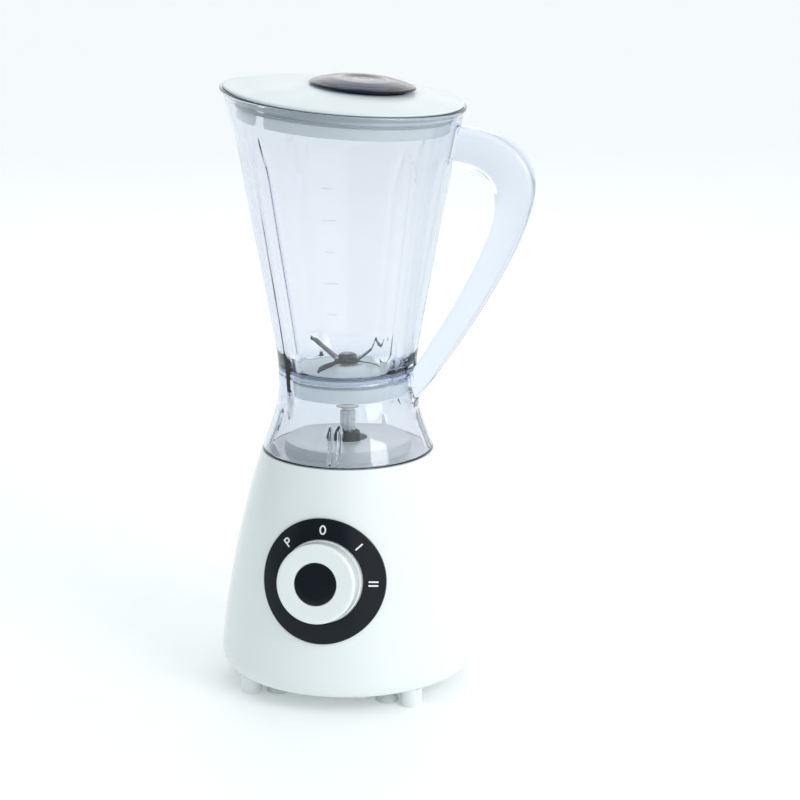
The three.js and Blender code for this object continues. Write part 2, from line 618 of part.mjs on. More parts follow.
function buildBlades() {
  const { pinR, neckZ, nutR } = BLADE;
  const washerTop = neckZ + GAP + BLADE.washerThick;
  const lowerZ = washerTop + GAP;
  const upperZ = lowerZ + BLADE.thick + GAP;
  const nutLow = upperZ + BLADE.thick + GAP;
  const pinTop = nutLow + 1;
  const lobesTop = CARRIER.lowZ - 4;
  piece('blade_spindle', join(
    lobedRod(COUPLING.lobeR - 0.1, COUPLING.lobeDip, COUPLING.recessZ + 0.6, lobesTop),
    disc(SHAFT_R, lobesTop - 1, neckZ),
    disc(pinR, neckZ - 1, pinTop),
  ), steel());
  piece('blade_washer', ring(pinR + GAP, BLADE.washerR, neckZ + GAP, washerTop), steel());
  piece('lower_blade', blade(BLADE.lowerTurn, -BLADE.drop).translate(0, 0, lowerZ), steel());
  piece('upper_blade', blade(BLADE.upperTurn, BLADE.lift).translate(0, 0, upperZ), steel());
  const nut = turned([
    [pinR + GAP, nutLow], [nutR, nutLow], [nutR, nutLow + BLADE.nutRise / 2],
    [nutR - 1.2, nutLow + BLADE.nutRise - 0.4], [0, nutLow + BLADE.nutRise],
    [0, pinTop + GAP], [pinR + GAP, pinTop + GAP],
  ], 12);
  piece('blade_nut', nut, steel());
}

// ---------------------------------------------------------------- lid and measuring cap
function buildLid() {
  const lidGroup = new THREE.Group();
  lidGroup.position.set(0, 0, JUG.rimZ);
  lidGroup.rotation.y = RIM_TILT;
  blender.add(lidGroup);

  const skirtInside = LID.skirtR - LID.skirtWall;
  const dome = turned([
    [0, LID.rise], [22, LID.rise - 0.3], [44, LID.rise - 1.7], [60, LID.rise - 3.8],
    [LID.r - 1.6, 1.8], [LID.r, 1.2], [LID.r - 0.2, GAP], [LID.skirtR, GAP],
    [LID.skirtR, -LID.skirtDrop], [skirtInside, -LID.skirtDrop], [skirtInside, -1.6],
    [52, LID.rise - 5.7], [28, LID.rise - 3.7], [0, LID.rise - 2.9],
  ], BODY_ROUND);
  reshape(dome, (point) => {
    if (Math.hypot(point.x, point.y) > LID.skirtR + 2) swellSpout(point, 0.95);
  });
  const holeR = CAP.cupR + 0.6;
  const collarDrop = CAP.drop + 6;
  const collar = disc(holeR + 2, -collarDrop, LID.collarTop, 24).translate(CAP.offset, 0, 0);
  const hole = disc(holeR, -collarDrop - 5, LID.rise + 5, 24).translate(CAP.offset, 0, 0);
  piece('lid', cut(join(dome, collar), hole), white(), lidGroup);

  piece('lid_seal', ring(LID.skirtR + GAP, LID.sealR, LID.sealLow, LID.sealHigh, BODY_ROUND),
    greyRubber(), lidGroup);

  const capTop = CAP.topRise;
  const cupInside = CAP.cupR - CAP.wall;
  const cap = turned([
    [0, capTop], [14, capTop - 0.3], [24, capTop - 1.3], [CAP.r - 3, capTop - 3.1],
    [CAP.r, CAP.seat + 0.8], [CAP.r - 0.4, CAP.seat], [CAP.cupR, CAP.seat],
    [CAP.cupR, -CAP.drop], [cupInside, -CAP.drop], [cupInside, CAP.seat + 0.5],
    [18, capTop - 2.9], [0, capTop - 2.2],
  ], 28);
  piece('measuring_cap', cap.translate(CAP.offset, 0, 0), clearPlastic(0x8f9bd0, 0.5), lidGroup);
}

buildBase();
buildSwitch();
buildMotor();
buildRotor();
buildKnob();
buildJug();
buildBlades();
buildLid();

export default blender;
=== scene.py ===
from itertools import product
from math import atan, cos, pi, radians, sin
from types import SimpleNamespace

import bmesh
import bpy
import numpy as np
from bpy.props import FloatProperty, FloatVectorProperty, PointerProperty
from mathutils import Matrix, Vector


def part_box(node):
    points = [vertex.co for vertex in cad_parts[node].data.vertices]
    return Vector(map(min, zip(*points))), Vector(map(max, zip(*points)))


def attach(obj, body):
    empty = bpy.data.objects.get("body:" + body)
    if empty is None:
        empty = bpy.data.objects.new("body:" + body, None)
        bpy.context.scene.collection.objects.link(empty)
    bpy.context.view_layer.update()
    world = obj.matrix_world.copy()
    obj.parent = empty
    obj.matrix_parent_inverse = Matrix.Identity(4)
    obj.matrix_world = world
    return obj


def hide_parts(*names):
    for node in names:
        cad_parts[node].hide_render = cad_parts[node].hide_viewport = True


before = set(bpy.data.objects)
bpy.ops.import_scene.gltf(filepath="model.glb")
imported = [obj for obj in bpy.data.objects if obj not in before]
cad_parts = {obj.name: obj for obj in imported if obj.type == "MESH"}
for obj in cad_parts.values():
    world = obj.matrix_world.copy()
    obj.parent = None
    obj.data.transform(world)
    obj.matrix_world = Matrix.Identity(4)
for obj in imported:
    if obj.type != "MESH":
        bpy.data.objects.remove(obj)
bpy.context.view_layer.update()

bl_info = {
    "name": "Countertop blender",
    "version": (1, 0, 0),
    "blender": (4, 5, 0),
    "location": "View3D > Sidebar > Countertop blender",
    "description": "Shapes and finishes of a countertop blender's pieces, built around its frame",
    "category": "Add Mesh",
}

# Shapes are worked out in millimetres from the blender's upright axis, with +Z up, the dial facing
# -Y and the handle to +X. Angles round the axis are counted from the front towards the handle.
# Heights are counted so that the base's lower lip is at LIP_Z, which leaves room for the feet.
MM = 0.001
MERGE = 2e-6
LIP_Z = 8.6
low_corner, high_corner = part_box("base_housing")
middle = (low_corner + high_corner) / 2
AXIS = np.array([middle.x, middle.y, low_corner.z - LIP_Z * MM])


def span(node):
    """The lowest and highest corner of a node, in millimetres from the upright axis."""
    low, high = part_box(node)
    return (np.array(low) - AXIS) / MM, (np.array(high) - AXIS) / MM


BASE_LOW, BASE_HIGH = span("base_housing")
JUG_FOOT = span("jug_body")[0][2]
GRIP_LOW, GRIP_HIGH = span("jug_handle")
CARRIER_LOW, CARRIER_HIGH = span("blade_carrier")


# ---- sizes and colours
def length(name, description, value):
    """A length property whose default is given in millimetres."""
    return FloatProperty(name=name, description=description, default=value * MM, unit="LENGTH",
                         precision=5)


def angle(name, description, value):
    """An angle property whose default is given in degrees."""
    return FloatProperty(name=name, description=description, default=radians(value),
                         subtype="ANGLE")


def share(name, description, value, top=1.0):
    """A plain number from nothing to top."""
    return FloatProperty(name=name, description=description, default=value, min=0.0, max=top)


def colour(name, description, value):
    """A linear colour property."""
    return FloatVectorProperty(name=name, description=description, default=value, size=3,
                               min=0.0, max=1.0, subtype="COLOR")


class BaseSizes(bpy.types.PropertyGroup):
    """The conical motor base."""
    wide_z: length("Widest height", "Height of the widest ring of the base", 17)
    top_r: length("Top radius", "Radius of the shoulder under the jug", 54.5)
    top_z: length("Shoulder height", "Height of the shoulder that the jug stands on", 148.2)
    lip_r: length("Lip radius", "Radius of the lower lip", 76)
    wall: length("Wall", "Thickness of the housing's wall", 2.6)
    straight: share("Straight share", "Share of the flank's taper that is straight", 0.46)
    plinth_r: length("Plinth radius", "Radius of the raised plinth inside the jug's skirt", 39.4)
    well_r: length("Well radius", "Radius of the well round the drive coupling", 12)
    well_z: length("Well floor", "Height of the well's floor", 147.4)


class DialSizes(bpy.types.PropertyGroup):
    """The dial ring, its marks and the knob."""
    z: length("Height", "Height of the dial's centre", 81.8)
    ring_r: length("Ring radius", "Outer radius of the black ring", 39)
    inner_r: length("Inner radius", "Inner radius of the black ring", 26)
    ring_rise: length("Ring rise", "How far the ring stands off the flank", 1.45)
    knob_r: length("Knob radius", "Radius of the knob", 25)
    knob_reach: length("Knob reach", "How far the knob stands off the flank", 14.5)
    cap_r: length("Cap radius", "Radius of the black disc in the knob", 13)
    mark_r: length("Mark radius", "Distance of the marks from the dial's centre", 31.9)
    mark_width: length("Mark stroke", "Width of the strokes of the marks", 0.95)
    mark_height: length("Mark height", "Height of the marks", 5.6)


class JugSizes(bpy.types.PropertyGroup):
    """The clear jug, its flutes, spout and handle."""
    waist_r: length("Waist radius", "Radius of the narrow waist", 43.1)
    waist_z: length("Waist height", "Height of the narrow waist", 190)
    flare: length("Flare", "How much wider the skirt's foot is than the waist", 11.4)
    rim_z: length("Rim height", "Height of the rim's middle", 370.6)
    wall: length("Wall", "Thickness of the jug's wall", 2.6)
    slope: share("Slope", "How much the jug widens per unit of height", 0.1818)
    slope_z: length("Slope start", "Height where the waist turns into the cone", 207)
    seat_r: length("Seat radius", "Radius of the seat of the blade carrier", 38.6)
    ledge_r: length("Ledge radius", "Inner radius of the ledge over the carrier", 34.5)
    ledge_z: length("Ledge height", "Height of the ledge's top", 200.2)
    flute_depth: length("Flute depth", "Depth of the pressed flutes", 1.7)
    flute_width: length("Flute width", "Width of the pressed flutes", 17)
    flute_low: length("Flute foot", "Height of the flutes' lower points", 170)
    flute_high: length("Flute head", "Height of the flutes' upper points", 353)
    flute_point: length("Flute point", "Length in which a flute closes to its point", 30)
    flute_edge: length("Flute edge", "Width of the soft edge of a flute", 7)
    flute_angle: angle("Flute angle", "Angle of the front flutes from the front", 41.5)
    turned: angle("Turned", "How far the jug's flutes and scale are turned to the handle", 3.5)
    spout: length("Spout", "How far the rim swells out at the spout", 5)
    spout_half: angle("Spout width", "Angle from its middle in which the spout fades", 20)
    rib: length("Lock rib", "How far the lock ribs stand off the skirt's inner wall", 1.7)
    rib_apart: length("Lock rib place", "Distance of a rib from the middle of its pair", 2.6)
    rim_slope: share("Rim slope", "Fall of the rim and lid towards the handle", 0.077)
    grip: length("Handle thickness", "Thickness of the handle across", 17)
    grip_edge: length("Handle edge", "Size of the rounded edges of the handle", 3)


class LidSizes(bpy.types.PropertyGroup):
    """The lid and the measuring cap in its filler hole."""
    r: length("Radius", "Radius of the lid's edge", 72.6)
    rise: length("Rise", "Height of the dome over the rim", 7.4)
    skirt_r: length("Skirt radius", "Outer radius of the skirt inside the jug", 65.6)
    skirt_drop: length("Skirt drop", "How far the skirt reaches into the jug", 15.3)
    plate: length("Plate", "Thickness of the lid's dome", 2.6)
    cap_offset: length("Cap offset", "Distance of the cap from the lid's middle", 10)
    cap_r: length("Cap radius", "Radius of the measuring cap's flange", 33)
    cup_r: length("Cup radius", "Radius of the measuring cap's cup", 26.4)
    cup_drop: length("Cup drop", "How far the cup reaches below the rim", 12)
    cap_top: length("Cap top", "Height of the cap's top over the rim", 12.8)


class BladeSizes(bpy.types.PropertyGroup):
    """The two crossed blades."""
    reach: length("Reach", "Distance of the blade tips from the axis", 22.8)
    width: length("Width", "Width of a blade at its root", 9)
    thick: length("Thickness", "Thickness of the blade sheet", 1.6)
    lift: length("Lift", "Rise of the upper blade's tips", 14)
    drop: length("Drop", "Fall of the lower blade's tips", 8.5)
    upper_turn: angle("Upper turn", "Angle of the upper blade", 5)
    lower_turn: angle("Lower turn", "Angle of the lower blade", 44)


class Finishes(bpy.types.PropertyGroup):
    """The colours of the finishes."""
    white: colour("White plastic", "Gloss white of the base and knob", (0.80, 0.85, 0.855))
    lid: colour("Lid plastic", "Satin white of the lid", (0.69, 0.755, 0.765))
    black: colour("Black plastic", "Gloss black of the dial ring", (0.006, 0.009, 0.014))
    mark: colour("Print", "White print of the dial marks", (0.82, 0.86, 0.88))
    jug: colour("Jug tint", "Tint of light that has crossed the clear jug", (0.70, 0.77, 0.91))
    cap: colour("Cap tint", "Tint of light that has crossed the cap", (0.12, 0.17, 0.42))
    carrier: colour("Frosted plastic", "Grey of the blade carrier", (0.78, 0.86, 0.87))
    steel: colour("Steel", "Screws, shafts and bearings", (0.60, 0.62, 0.62))
    # The blade steel is painted far darker than bare steel: a painted dark reflection that stands
    # in for the dark surroundings the blades mirror.
    blade: colour("Blade steel", "Darker steel of the blades", (0.09, 0.10, 0.10))
    rubber: colour("Grey rubber", "Suction cups and seals", (0.60, 0.66, 0.66))
    floor: colour("Floor", "The pale floor", (0.955, 0.98, 0.98))


class StageSettings(bpy.types.PropertyGroup):
    """The camera, the floor and the lights."""
    focal: FloatProperty(name="Focal length", description="Focal length of the camera",
                         default=108.0, unit="CAMERA")
    place: FloatVectorProperty(name="Place", description="Place of the camera from the axis's foot",
                               default=(0.34905, -1.4218, 0.5762), subtype="XYZ", precision=4)
    azimuth: angle("Azimuth", "How far the camera stands round towards the handle", 12.5)
    tilt: angle("Tilt", "The camera's angle from looking straight down", 74.79)
    floor_r: length("Floor radius", "Radius of the round floor", 6000)
    sky: share("Sky", "Strength of the bright sides of the surroundings", 1.14, 4.0)
    shade: share("Shade", "Strength of the darker left side of the surroundings", 0.64, 4.0)
    front: share("Front", "Strength of the dimmer gap behind the camera", 0.3, 4.0)
    zenith: share("Zenith", "Strength of the surroundings overhead", 0.76, 4.0)
    glow: share("Floor glow", "Light given off by the floor sheet", 0.13, 4.0)
    aim: length("Aim", "Height that the lights look at", 190)
    key: FloatProperty(name="Key light", description="Power of the large light on the right",
                       default=8.0, min=0.0, unit="POWER")


GROUPS = {"part_base": BaseSizes, "part_dial": DialSizes, "part_jug": JugSizes,
          "part_lid": LidSizes, "part_blades": BladeSizes, "part_finishes": Finishes,
          "part_stage": StageSettings}


def sizes(name):
    """The values of a property group as plain numbers, with its lengths in millimetres."""
    group = getattr(bpy.context.scene, name)
    kinds = group.bl_rna.properties
    values = {key: getattr(group, key) for key in type(group).__annotations__}
    return SimpleNamespace(**{key: value / MM if kinds[key].unit == "LENGTH" else value
                              for key, value in values.items()})


def tint(name):
    """One of the finish colours as four numbers."""
    return (*getattr(bpy.context.scene.part_finishes, name), 1.0)


# ---- curves and meshes
def smooth_step(low, high, value):
    """0 below low and 1 above high, with 3t^2 - 2t^3 between them."""
    t = np.clip((value - low) / (high - low), 0.0, 1.0)
    return t * t * (3 - 2 * t)


def circle(count):
    """Angles of count even steps round a circle."""
    return np.linspace(0, 2 * pi, count, endpoint=False)


def outline(corners, closed=False, steps=5, longest=None):
    """Corners of (x, y, cut) joined by straight lines. Each corner C is rounded by the parabola
    (1-t)^2 A + 2t(1-t) C + t^2 B from A to B, the points at the distance cut before and after it.
    With longest, points are added until no step is longer."""
    corners = np.array([(*c, 0.0)[:3] for c in corners], float)
    place, cut = corners[:, :2], corners[:, 2]
    legs = np.roll(place, -1, axis=0) - place
    reach = np.maximum(np.linalg.norm(legs, axis=1), 1e-9)
    ahead = legs / reach[:, None]
    if not closed:
        cut[[0, -1]] = 0
    room = np.minimum(reach, np.roll(reach, 1)) * 0.49
    cut = np.minimum(cut, room)[:, None]
    start = place - np.roll(ahead, 1, axis=0) * cut
    end = place + ahead * cut
    t = np.linspace(0, 1, steps + 1)[None, :, None]
    line = (1 - t) ** 2 * start[:, None] + 2 * t * (1 - t) * place[:, None] + t ** 2 * end[:, None]
    line = line.reshape(-1, 2)
    kept = np.linalg.norm(line - np.roll(line, 1, axis=0), axis=1) > 1e-6
    kept[0] = True
    return resampled(line[kept], longest, closed) if longest else line[kept]


def resampled(line, longest, closed=False):
    """Adds points to a line until no step is longer than longest."""
    whole = np.vstack([line, line[:1]]) if closed else line
    run = np.concatenate([[0], np.cumsum(np.linalg.norm(np.diff(whole, axis=0), axis=1))])
    marks = np.union1d(run, np.linspace(0, run[-1], int(run[-1] / longest) + 1))
    marks = marks[np.concatenate([[True], np.diff(marks) > 0.02])]
    line = np.stack([np.interp(marks, run, whole[:, i]) for i in range(2)], -1)
    return line[:-1] if closed else line


def cubic(points, count):
    """A cubic curve through its first and last point, drawn towards the two between them."""
    a, b, c, d = (np.array(p, float) for p in points)
    t = np.linspace(0, 1, count)[:, None]
    return (1 - t) ** 3 * a + 3 * t * (1 - t) ** 2 * b + 3 * t * t * (1 - t) * c + t ** 3 * d


def lattice(points, wrap_u=False, wrap_v=True):
    """A surface given as points[u, v]: its vertices, and its four-sided faces turned outwards,
    which they are when the sum of a . (b x c) over them is positive."""
    rows, columns = points.shape[:2]
    index = np.arange(rows * columns).reshape(rows, columns)
    if wrap_u:
        index = np.vstack([index, index[:1]])
    if wrap_v:
        index = np.hstack([index, index[:, :1]])
    quads = np.stack([index[:-1, :-1], index[:-1, 1:], index[1:, 1:], index[1:, :-1]], -1)
    quads, vertices = quads.reshape(-1, 4), points.reshape(-1, 3)
    a, b, c, d = (vertices[quads[:, i]] for i in range(4))
    volume = np.sum(a * np.cross(b, c)) + np.sum(a * np.cross(c, d))
    return vertices, quads if volume > 0 else quads[:, ::-1]


def revolved(profile, angles=None):
    """A profile of (radius, height) carried round the upright axis: (r sin a, -r cos a, z)."""
    angles = circle(96) if angles is None else angles
    r, z = profile[:, :1], profile[:, 1:2]
    return np.stack([r * np.sin(angles), -r * np.cos(angles), z + 0 * angles], -1)


def turned(profile, angles=None, closed=False):
    """The closed surface of a revolved profile, which ends on the axis or closes on itself."""
    return lattice(revolved(profile, angles), wrap_u=closed)


def capped(rings):
    """Rings of points with their middle points added at both ends, which closes them."""
    first, last = (np.broadcast_to(ring.mean(0), ring.shape)[None]
                   for ring in (rings[0], rings[-1]))
    return np.concatenate([first, rings, last])


def swept(centres, across, along, section):
    """A section of (a, b) carried along centres: centre + a * across + b * along at each step."""
    points = (centres[:, None] + section[..., :1] * across[:, None]
              + section[..., 1:] * along[:, None])
    return lattice(capped(points))


def polar(points):
    """The distance of points from the axis, and their angle from the front."""
    r = np.maximum(np.hypot(points[..., 0], points[..., 1]), 1e-6)
    return r, np.arctan2(points[..., 0], -points[..., 1])


def pushed(points, distance):
    """Points moved straight away from the axis, each by its distance."""
    factor = 1 + distance / polar(points)[0]
    return points * np.stack([factor, factor, np.ones_like(factor)], -1)


def moved(shell, place):
    """The same surface with its points moved by the function place."""
    return place(shell[0]), shell[1]


def piece(name, shells, material, body, slot, nodes=(), sharp=34):
    """One mesh from surfaces in millimetres. Points that meet at a pole are merged, and edges that
    turn by more than sharp degrees stay sharp."""
    starts = np.cumsum([0] + [len(vertices) for vertices, _ in shells[:-1]])
    vertices = np.vstack([vertices for vertices, _ in shells]) * MM + AXIS
    faces = np.vstack([quads + start for (_, quads), start in zip(shells, starts)])
    mesh = bpy.data.meshes.new(name)
    mesh.from_pydata(vertices.tolist(), [], faces.tolist())
    work = bmesh.new()
    work.from_mesh(mesh)
    bmesh.ops.remove_doubles(work, verts=work.verts, dist=MERGE)
    work.to_mesh(mesh)
    work.free()
    mesh.shade_smooth()
    mesh.set_sharp_from_angle(angle=radians(sharp))
    mesh.materials.append(material)
    made = bpy.data.objects.new(name, mesh)
    bpy.context.scene.collection.objects.link(made)
    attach(made, body)
    if nodes:
        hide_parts(*nodes)
    return made


# ---- finishes
def finish(name, base, **values):
    """A Principled material. Each value is set on the socket of that name, with _ for a space."""
    found = bpy.data.materials.get(name)
    if found:
        return found, None
    material = bpy.data.materials.new(name)
    material.use_nodes = True
    principled = material.node_tree.nodes["Principled BSDF"]
    filled(principled, Base_Color=base, **values)
    return material, principled


def filled(shader_node, **values):
    """Sets values on the sockets of a node, by their names with _ for a space."""
    for key, value in values.items():
        shader_node.inputs[key.replace("_", " ")].default_value = value
    return shader_node


def fed(tree, kind, source, socket, **values):
    """A new node with values on its sockets, and with one socket fed by a source."""
    made = filled(tree.nodes.new("ShaderNode" + kind), **values)
    tree.links.new(source, made.inputs[socket])
    return made


def object_place(tree):
    """Places on the piece's own coordinates."""
    return tree.nodes.new("ShaderNodeTexCoord").outputs["Object"]


def noise(material, scale, detail=3.0, stretch=(1, 1, 1)):
    """Noise on the piece's own coordinates, stretched along the axes."""
    tree = material.node_tree
    mapping = fed(tree, "Mapping", object_place(tree), "Vector", Scale=stretch)
    return fed(tree, "TexNoise", mapping.outputs["Vector"], "Vector", Scale=scale,
               Detail=detail).outputs["Fac"]


def spread(material, value, low, high):
    """Maps noise round its middle to the range from low to high."""
    return fed(material.node_tree, "MapRange", value, "Value", From_Min=0.3, From_Max=0.7,
               To_Min=low, To_Max=high).outputs["Result"]


def bumped(material, principled, value, height, strength=1.0, onto=None):
    """Relief of the given height in metres from a pattern, on top of an earlier relief if given."""
    tree = material.node_tree
    bump = fed(tree, "Bump", value, "Height", Distance=height, Strength=strength)
    if onto:
        tree.links.new(onto, bump.inputs["Normal"])
    tree.links.new(bump.outputs["Normal"], principled.inputs["Normal"])
    return bump.outputs["Normal"]


def mixed(material, principled, value, first, second):
    """The base colour runs from first to second with the pattern."""
    mix = material.node_tree.nodes.new("ShaderNodeMix")
    mix.data_type = "RGBA"
    mix.inputs["A"].default_value = first
    mix.inputs["B"].default_value = second
    material.node_tree.links.new(value, mix.inputs["Factor"])
    material.node_tree.links.new(mix.outputs["Result"], principled.inputs["Base Color"])


def scaled(base, factor):
    """A colour made lighter or darker by a factor."""
    return (*(min(1.0, c * factor) for c in base[:3]), 1.0)


def varied(material, principled, base, darkest, lightest, scale):
    """The base colour wanders between two of its shades."""
    mixed(material, principled, spread(material, noise(material, scale), 0.0, 1.0),
          scaled(base, darkest), scaled(base, lightest))


def uneven(material, principled, pattern, low, high):
    """The roughness follows a pattern from low to high."""
    ranged = spread(material, pattern, low, high)
    material.node_tree.links.new(ranged, principled.inputs["Roughness"])


def moulded(name, base, roughness, coat=0.0, grain=0.00004, mottle=0.03, grain_scale=900.0):
    """Moulded plastic or rubber: slight mottling, uneven gloss, fine grain and soft sink marks."""
    material, principled = finish(name, base, Roughness=roughness, Coat_Weight=coat,
                                  Coat_Roughness=0.05)
    if principled:
        varied(material, principled, base, 1 - mottle, 1 + mottle, 14.0)
        uneven(material, principled, noise(material, 45.0), roughness * 0.85, roughness * 1.2)
        sink = bumped(material, principled, noise(material, 22.0, 1.0), 0.0004, 0.12)
        bumped(material, principled, noise(material, grain_scale, 2.0), grain, 0.35, sink)
    return material


def clear(name, tint_colour, density, roughness, wave=0.1, surface=(0.955, 0.955, 0.96, 1.0),
          ior=1.49):
    """Clear plastic: light is tinted by the thickness that it crosses, and the surface has the
    long waves of a moulding."""
    material, principled = finish(name, surface, Roughness=roughness, IOR=ior,
                                  Transmission_Weight=1.0)
    if principled:
        varied(material, principled, surface, 0.99, 1.0, 18.0)
        uneven(material, principled, noise(material, 60.0), roughness * 0.7, roughness * 1.3)
        tree = material.node_tree
        absorb = filled(tree.nodes.new("ShaderNodeVolumeAbsorption"), Color=tint_colour,
                        Density=density)
        tree.links.new(absorb.outputs["Volume"], tree.nodes["Material Output"].inputs["Volume"])
        bumped(material, principled, noise(material, 26.0, 1.0), 0.0006, wave)
    return material


def metal(name, base, roughness, stretch, scale=60.0, grain=0.00003):
    """Bare metal with a drawn, ground or rolled grain along the unstretched axis."""
    material, principled = finish(name, base, Metallic=1.0, Roughness=roughness, Anisotropic=0.3)
    if principled:
        pattern = noise(material, scale, 4.0, stretch)
        varied(material, principled, base, 0.92, 1.06, 30.0)
        uneven(material, principled, pattern, roughness * 0.7, roughness * 1.4)
        bumped(material, principled, pattern, grain, 0.4)
    return material


def painted_glow(material, light, strength, full_z=None, none_z=None):
    """Gives a pale plastic a painted glow: emission that stands in for the light that shines
    through it.
    With heights in millimetres, the glow fades out between them, so that only the part below glows."""
    tree = material.node_tree
    principled = filled(tree.nodes["Principled BSDF"], Emission_Color=light,
                        Emission_Strength=strength)
    socket = principled.inputs["Emission Strength"]
    if full_z is not None and not socket.links:
        split = fed(tree, "SeparateXYZ", object_place(tree), "Vector")
        fade = fed(tree, "MapRange", split.outputs["Z"], "Value", From_Min=full_z * MM,
                   From_Max=none_z * MM, To_Min=strength, To_Max=0.0)
        tree.links.new(fade.outputs["Result"], socket)
    return material


def less_glossy(material, level):
    """The material with a weaker mirror reflection."""
    filled(material.node_tree.nodes["Principled BSDF"], Specular_IOR_Level=level)
    return material


def lid_plastic():
    """Satin white plastic of the lid, whose thin skirt has a painted glow that stands in for the
    light it lets through.
    """
    material = less_glossy(moulded("lid_satin_plastic", tint("lid"), 0.34, mottle=0.008), 0.3)
    rim_z = sizes("part_jug").rim_z
    # Painted glow: the lid's lower part, the skirt inside the jug, gives off light to stand in for
    # the light that crosses it.
    return painted_glow(material, (0.87, 0.96, 1.0, 1.0), 0.2, rim_z - 4.0, rim_z - 1.0)


def black_gloss():
    """Gloss black plastic of the dial."""
    return less_glossy(moulded("black_gloss_plastic", tint("black"), 0.13, mottle=0.05), 0.22)


def recipe(kind, name, base, *rest, **more):
    """A finish that is made when a piece asks for it. A base given as a word is one of the finish
    colours."""
    return lambda: kind(name, tint(base) if isinstance(base, str) else base, *rest, **more)


white_gloss = recipe(moulded, "white_gloss_plastic", "white", 0.2, coat=0.35, mottle=0.008)
grey_rubber = recipe(moulded, "grey_soft_rubber", "rubber", 0.5, grain=0.00008, mottle=0.04)
black_rubber = recipe(moulded, "black_matt_rubber", (0.02, 0.022, 0.024, 1), 0.55, grain=0.0001,
                      mottle=0.1)
dark_plastic = recipe(moulded, "dark_moulded_plastic", (0.035, 0.036, 0.04, 1), 0.5, grain=0.0001)
capacitor_film = recipe(moulded, "dipped_capacitor", (0.6, 0.42, 0.06, 1), 0.3, coat=0.2,
                        mottle=0.06)
mark_print = recipe(moulded, "mark_print", "mark", 0.5, grain_scale=2000.0)
# Painted dark reflection: the blade steel's very dark colour stands in for dark surroundings
# mirrored in the blades, nut and washer.
blade_steel_painted_dark = recipe(metal, "ground_steel", "blade", 0.2, (1.0, 1.0, 12.0))
winding = recipe(metal, "copper_winding", (0.62, 0.27, 0.13, 1), 0.4, (1.0, 1.0, 14.0), 90.0,
                 0.0004)
laminated = recipe(metal, "laminated_steel", (0.33, 0.34, 0.36, 1), 0.45, (0.02, 0.02, 24.0),
                   90.0, 0.0003)
brass = recipe(metal, "satin_brass", (0.58, 0.52, 0.38, 1), 0.32, (1.0, 1.0, 20.0))


def steel_turned():
    """Turned steel of shafts, screws and bearings."""
    return metal("turned_steel", scaled(tint("steel"), 0.95), 0.28, (1.0, 1.0, 30.0))


def jug_clear():
    """Clear plastic of the jug's wall, with a blue-violet tint."""
    return clear("jug_clear_plastic", tint("jug"), 85.0, 0.015)


def grip_clear():
    """Clear plastic of the handle, whose thickness makes the same tint stronger."""
    return clear("grip_clear_plastic", tint("jug"), 34.0, 0.015)


def cap_clear():
    """Clear plastic with the cap's deep blue tint."""
    return clear("cap_clear_plastic", tint("cap"), 500.0, 0.03, 0.3,
                 (0.36, 0.44, 0.60, 1.0), 1.34)


# The pieces that keep the shape of the frame, by the finish that they get.
CARRIED = {
    white_gloss: ("base_bottom_cover",),
    dark_plastic: ("rotary_switch", "carbon_brush_front", "carbon_brush_rear", "terminal_block",
                   "cord_clamp", "cooling_fan"),
    black_rubber: ("motor_mount_left", "motor_mount_right"),
    steel_turned: ("switch_nut", "upper_bearing", "lower_bearing", "motor_shaft", "switch_shaft"),
    laminated: ("stator_core", "upper_bearing_bracket", "lower_bearing_bracket", "rotor_core"),
    winding: ("field_coil_left", "field_coil_right", "commutator"),
    brass: ("brush_holder_front", "brush_holder_rear"),
    capacitor_film: ("suppressor_capacitor",),
}


# ---- shared shapes
def flank_radius(z):
    """Radius of the base's flank: the widest radius less a taper that is partly straight and
    partly grows with the square of the height."""
    base = sizes("part_base")
    wide = BASE_HIGH[0]
    t = (z - base.wide_z) / (base.top_z - base.wide_z)
    taper = base.straight * t + (1 - base.straight) * t * t
    return wide - (wide - base.top_r) * taper


def dial_frame():
    """The dial's centre on the flank, and the directions to its right, up its face and out."""
    z = sizes("part_dial").z
    rise = 10.0
    tilt = atan((flank_radius(z - rise) - flank_radius(z + rise)) / (2 * rise))
    return (np.array([0, -flank_radius(z), z]), np.array([1.0, 0, 0]),
            np.array([0, sin(tilt), cos(tilt)]), np.array([0, -cos(tilt), sin(tilt)]))


def on_dial(points):
    """Points of (right, up, out) on the dial, in millimetres from the blender's axis."""
    centre, right, up, out = dial_frame()
    return centre + points @ np.stack([right, up, out])


def wrapped(right, up, lift):
    """Points of the dial's face pushed along its axis until they stand lift off the flank. Each of
    the few steps moves them by what they are still too far out, divided by the slope."""
    right, up, lift = np.broadcast_arrays(right, up, lift)
    depth = np.zeros(right.shape)
    for _ in range(12):
        points = on_dial(np.stack([right, up, depth], -1))
        reach = np.hypot(points[..., 0], points[..., 1])
        depth = depth - (reach - flank_radius(points[..., 2]) - lift) * 0.95
    return on_dial(np.stack([right, up, depth], -1))


def jug_radius(z):
    """Outer radius of the jug. Below the waist it grows with the power 1.6 of the depth, and above
    it a hyperbola turns the upright waist into the cone."""
    jug = sizes("part_jug")
    down = np.clip((jug.waist_z - z) / (jug.waist_z - JUG_FOOT), 0, None)
    up = z - jug.slope_z
    turn_softness = 88.0
    cone = jug.slope * (np.sqrt(up * up + turn_softness) + up) / 2
    return jug.waist_r + np.where(z < jug.waist_z, jug.flare * down ** 1.6, cone)


def swollen(points, strength):
    """Points moved away from the axis by a bell curve round the spout's direction, -X."""
    jug = sizes("part_jug")
    from_spout = np.arctan2(points[..., 1], -points[..., 0])
    return pushed(points, jug.spout * strength * np.exp(-(from_spout / jug.spout_half) ** 2))


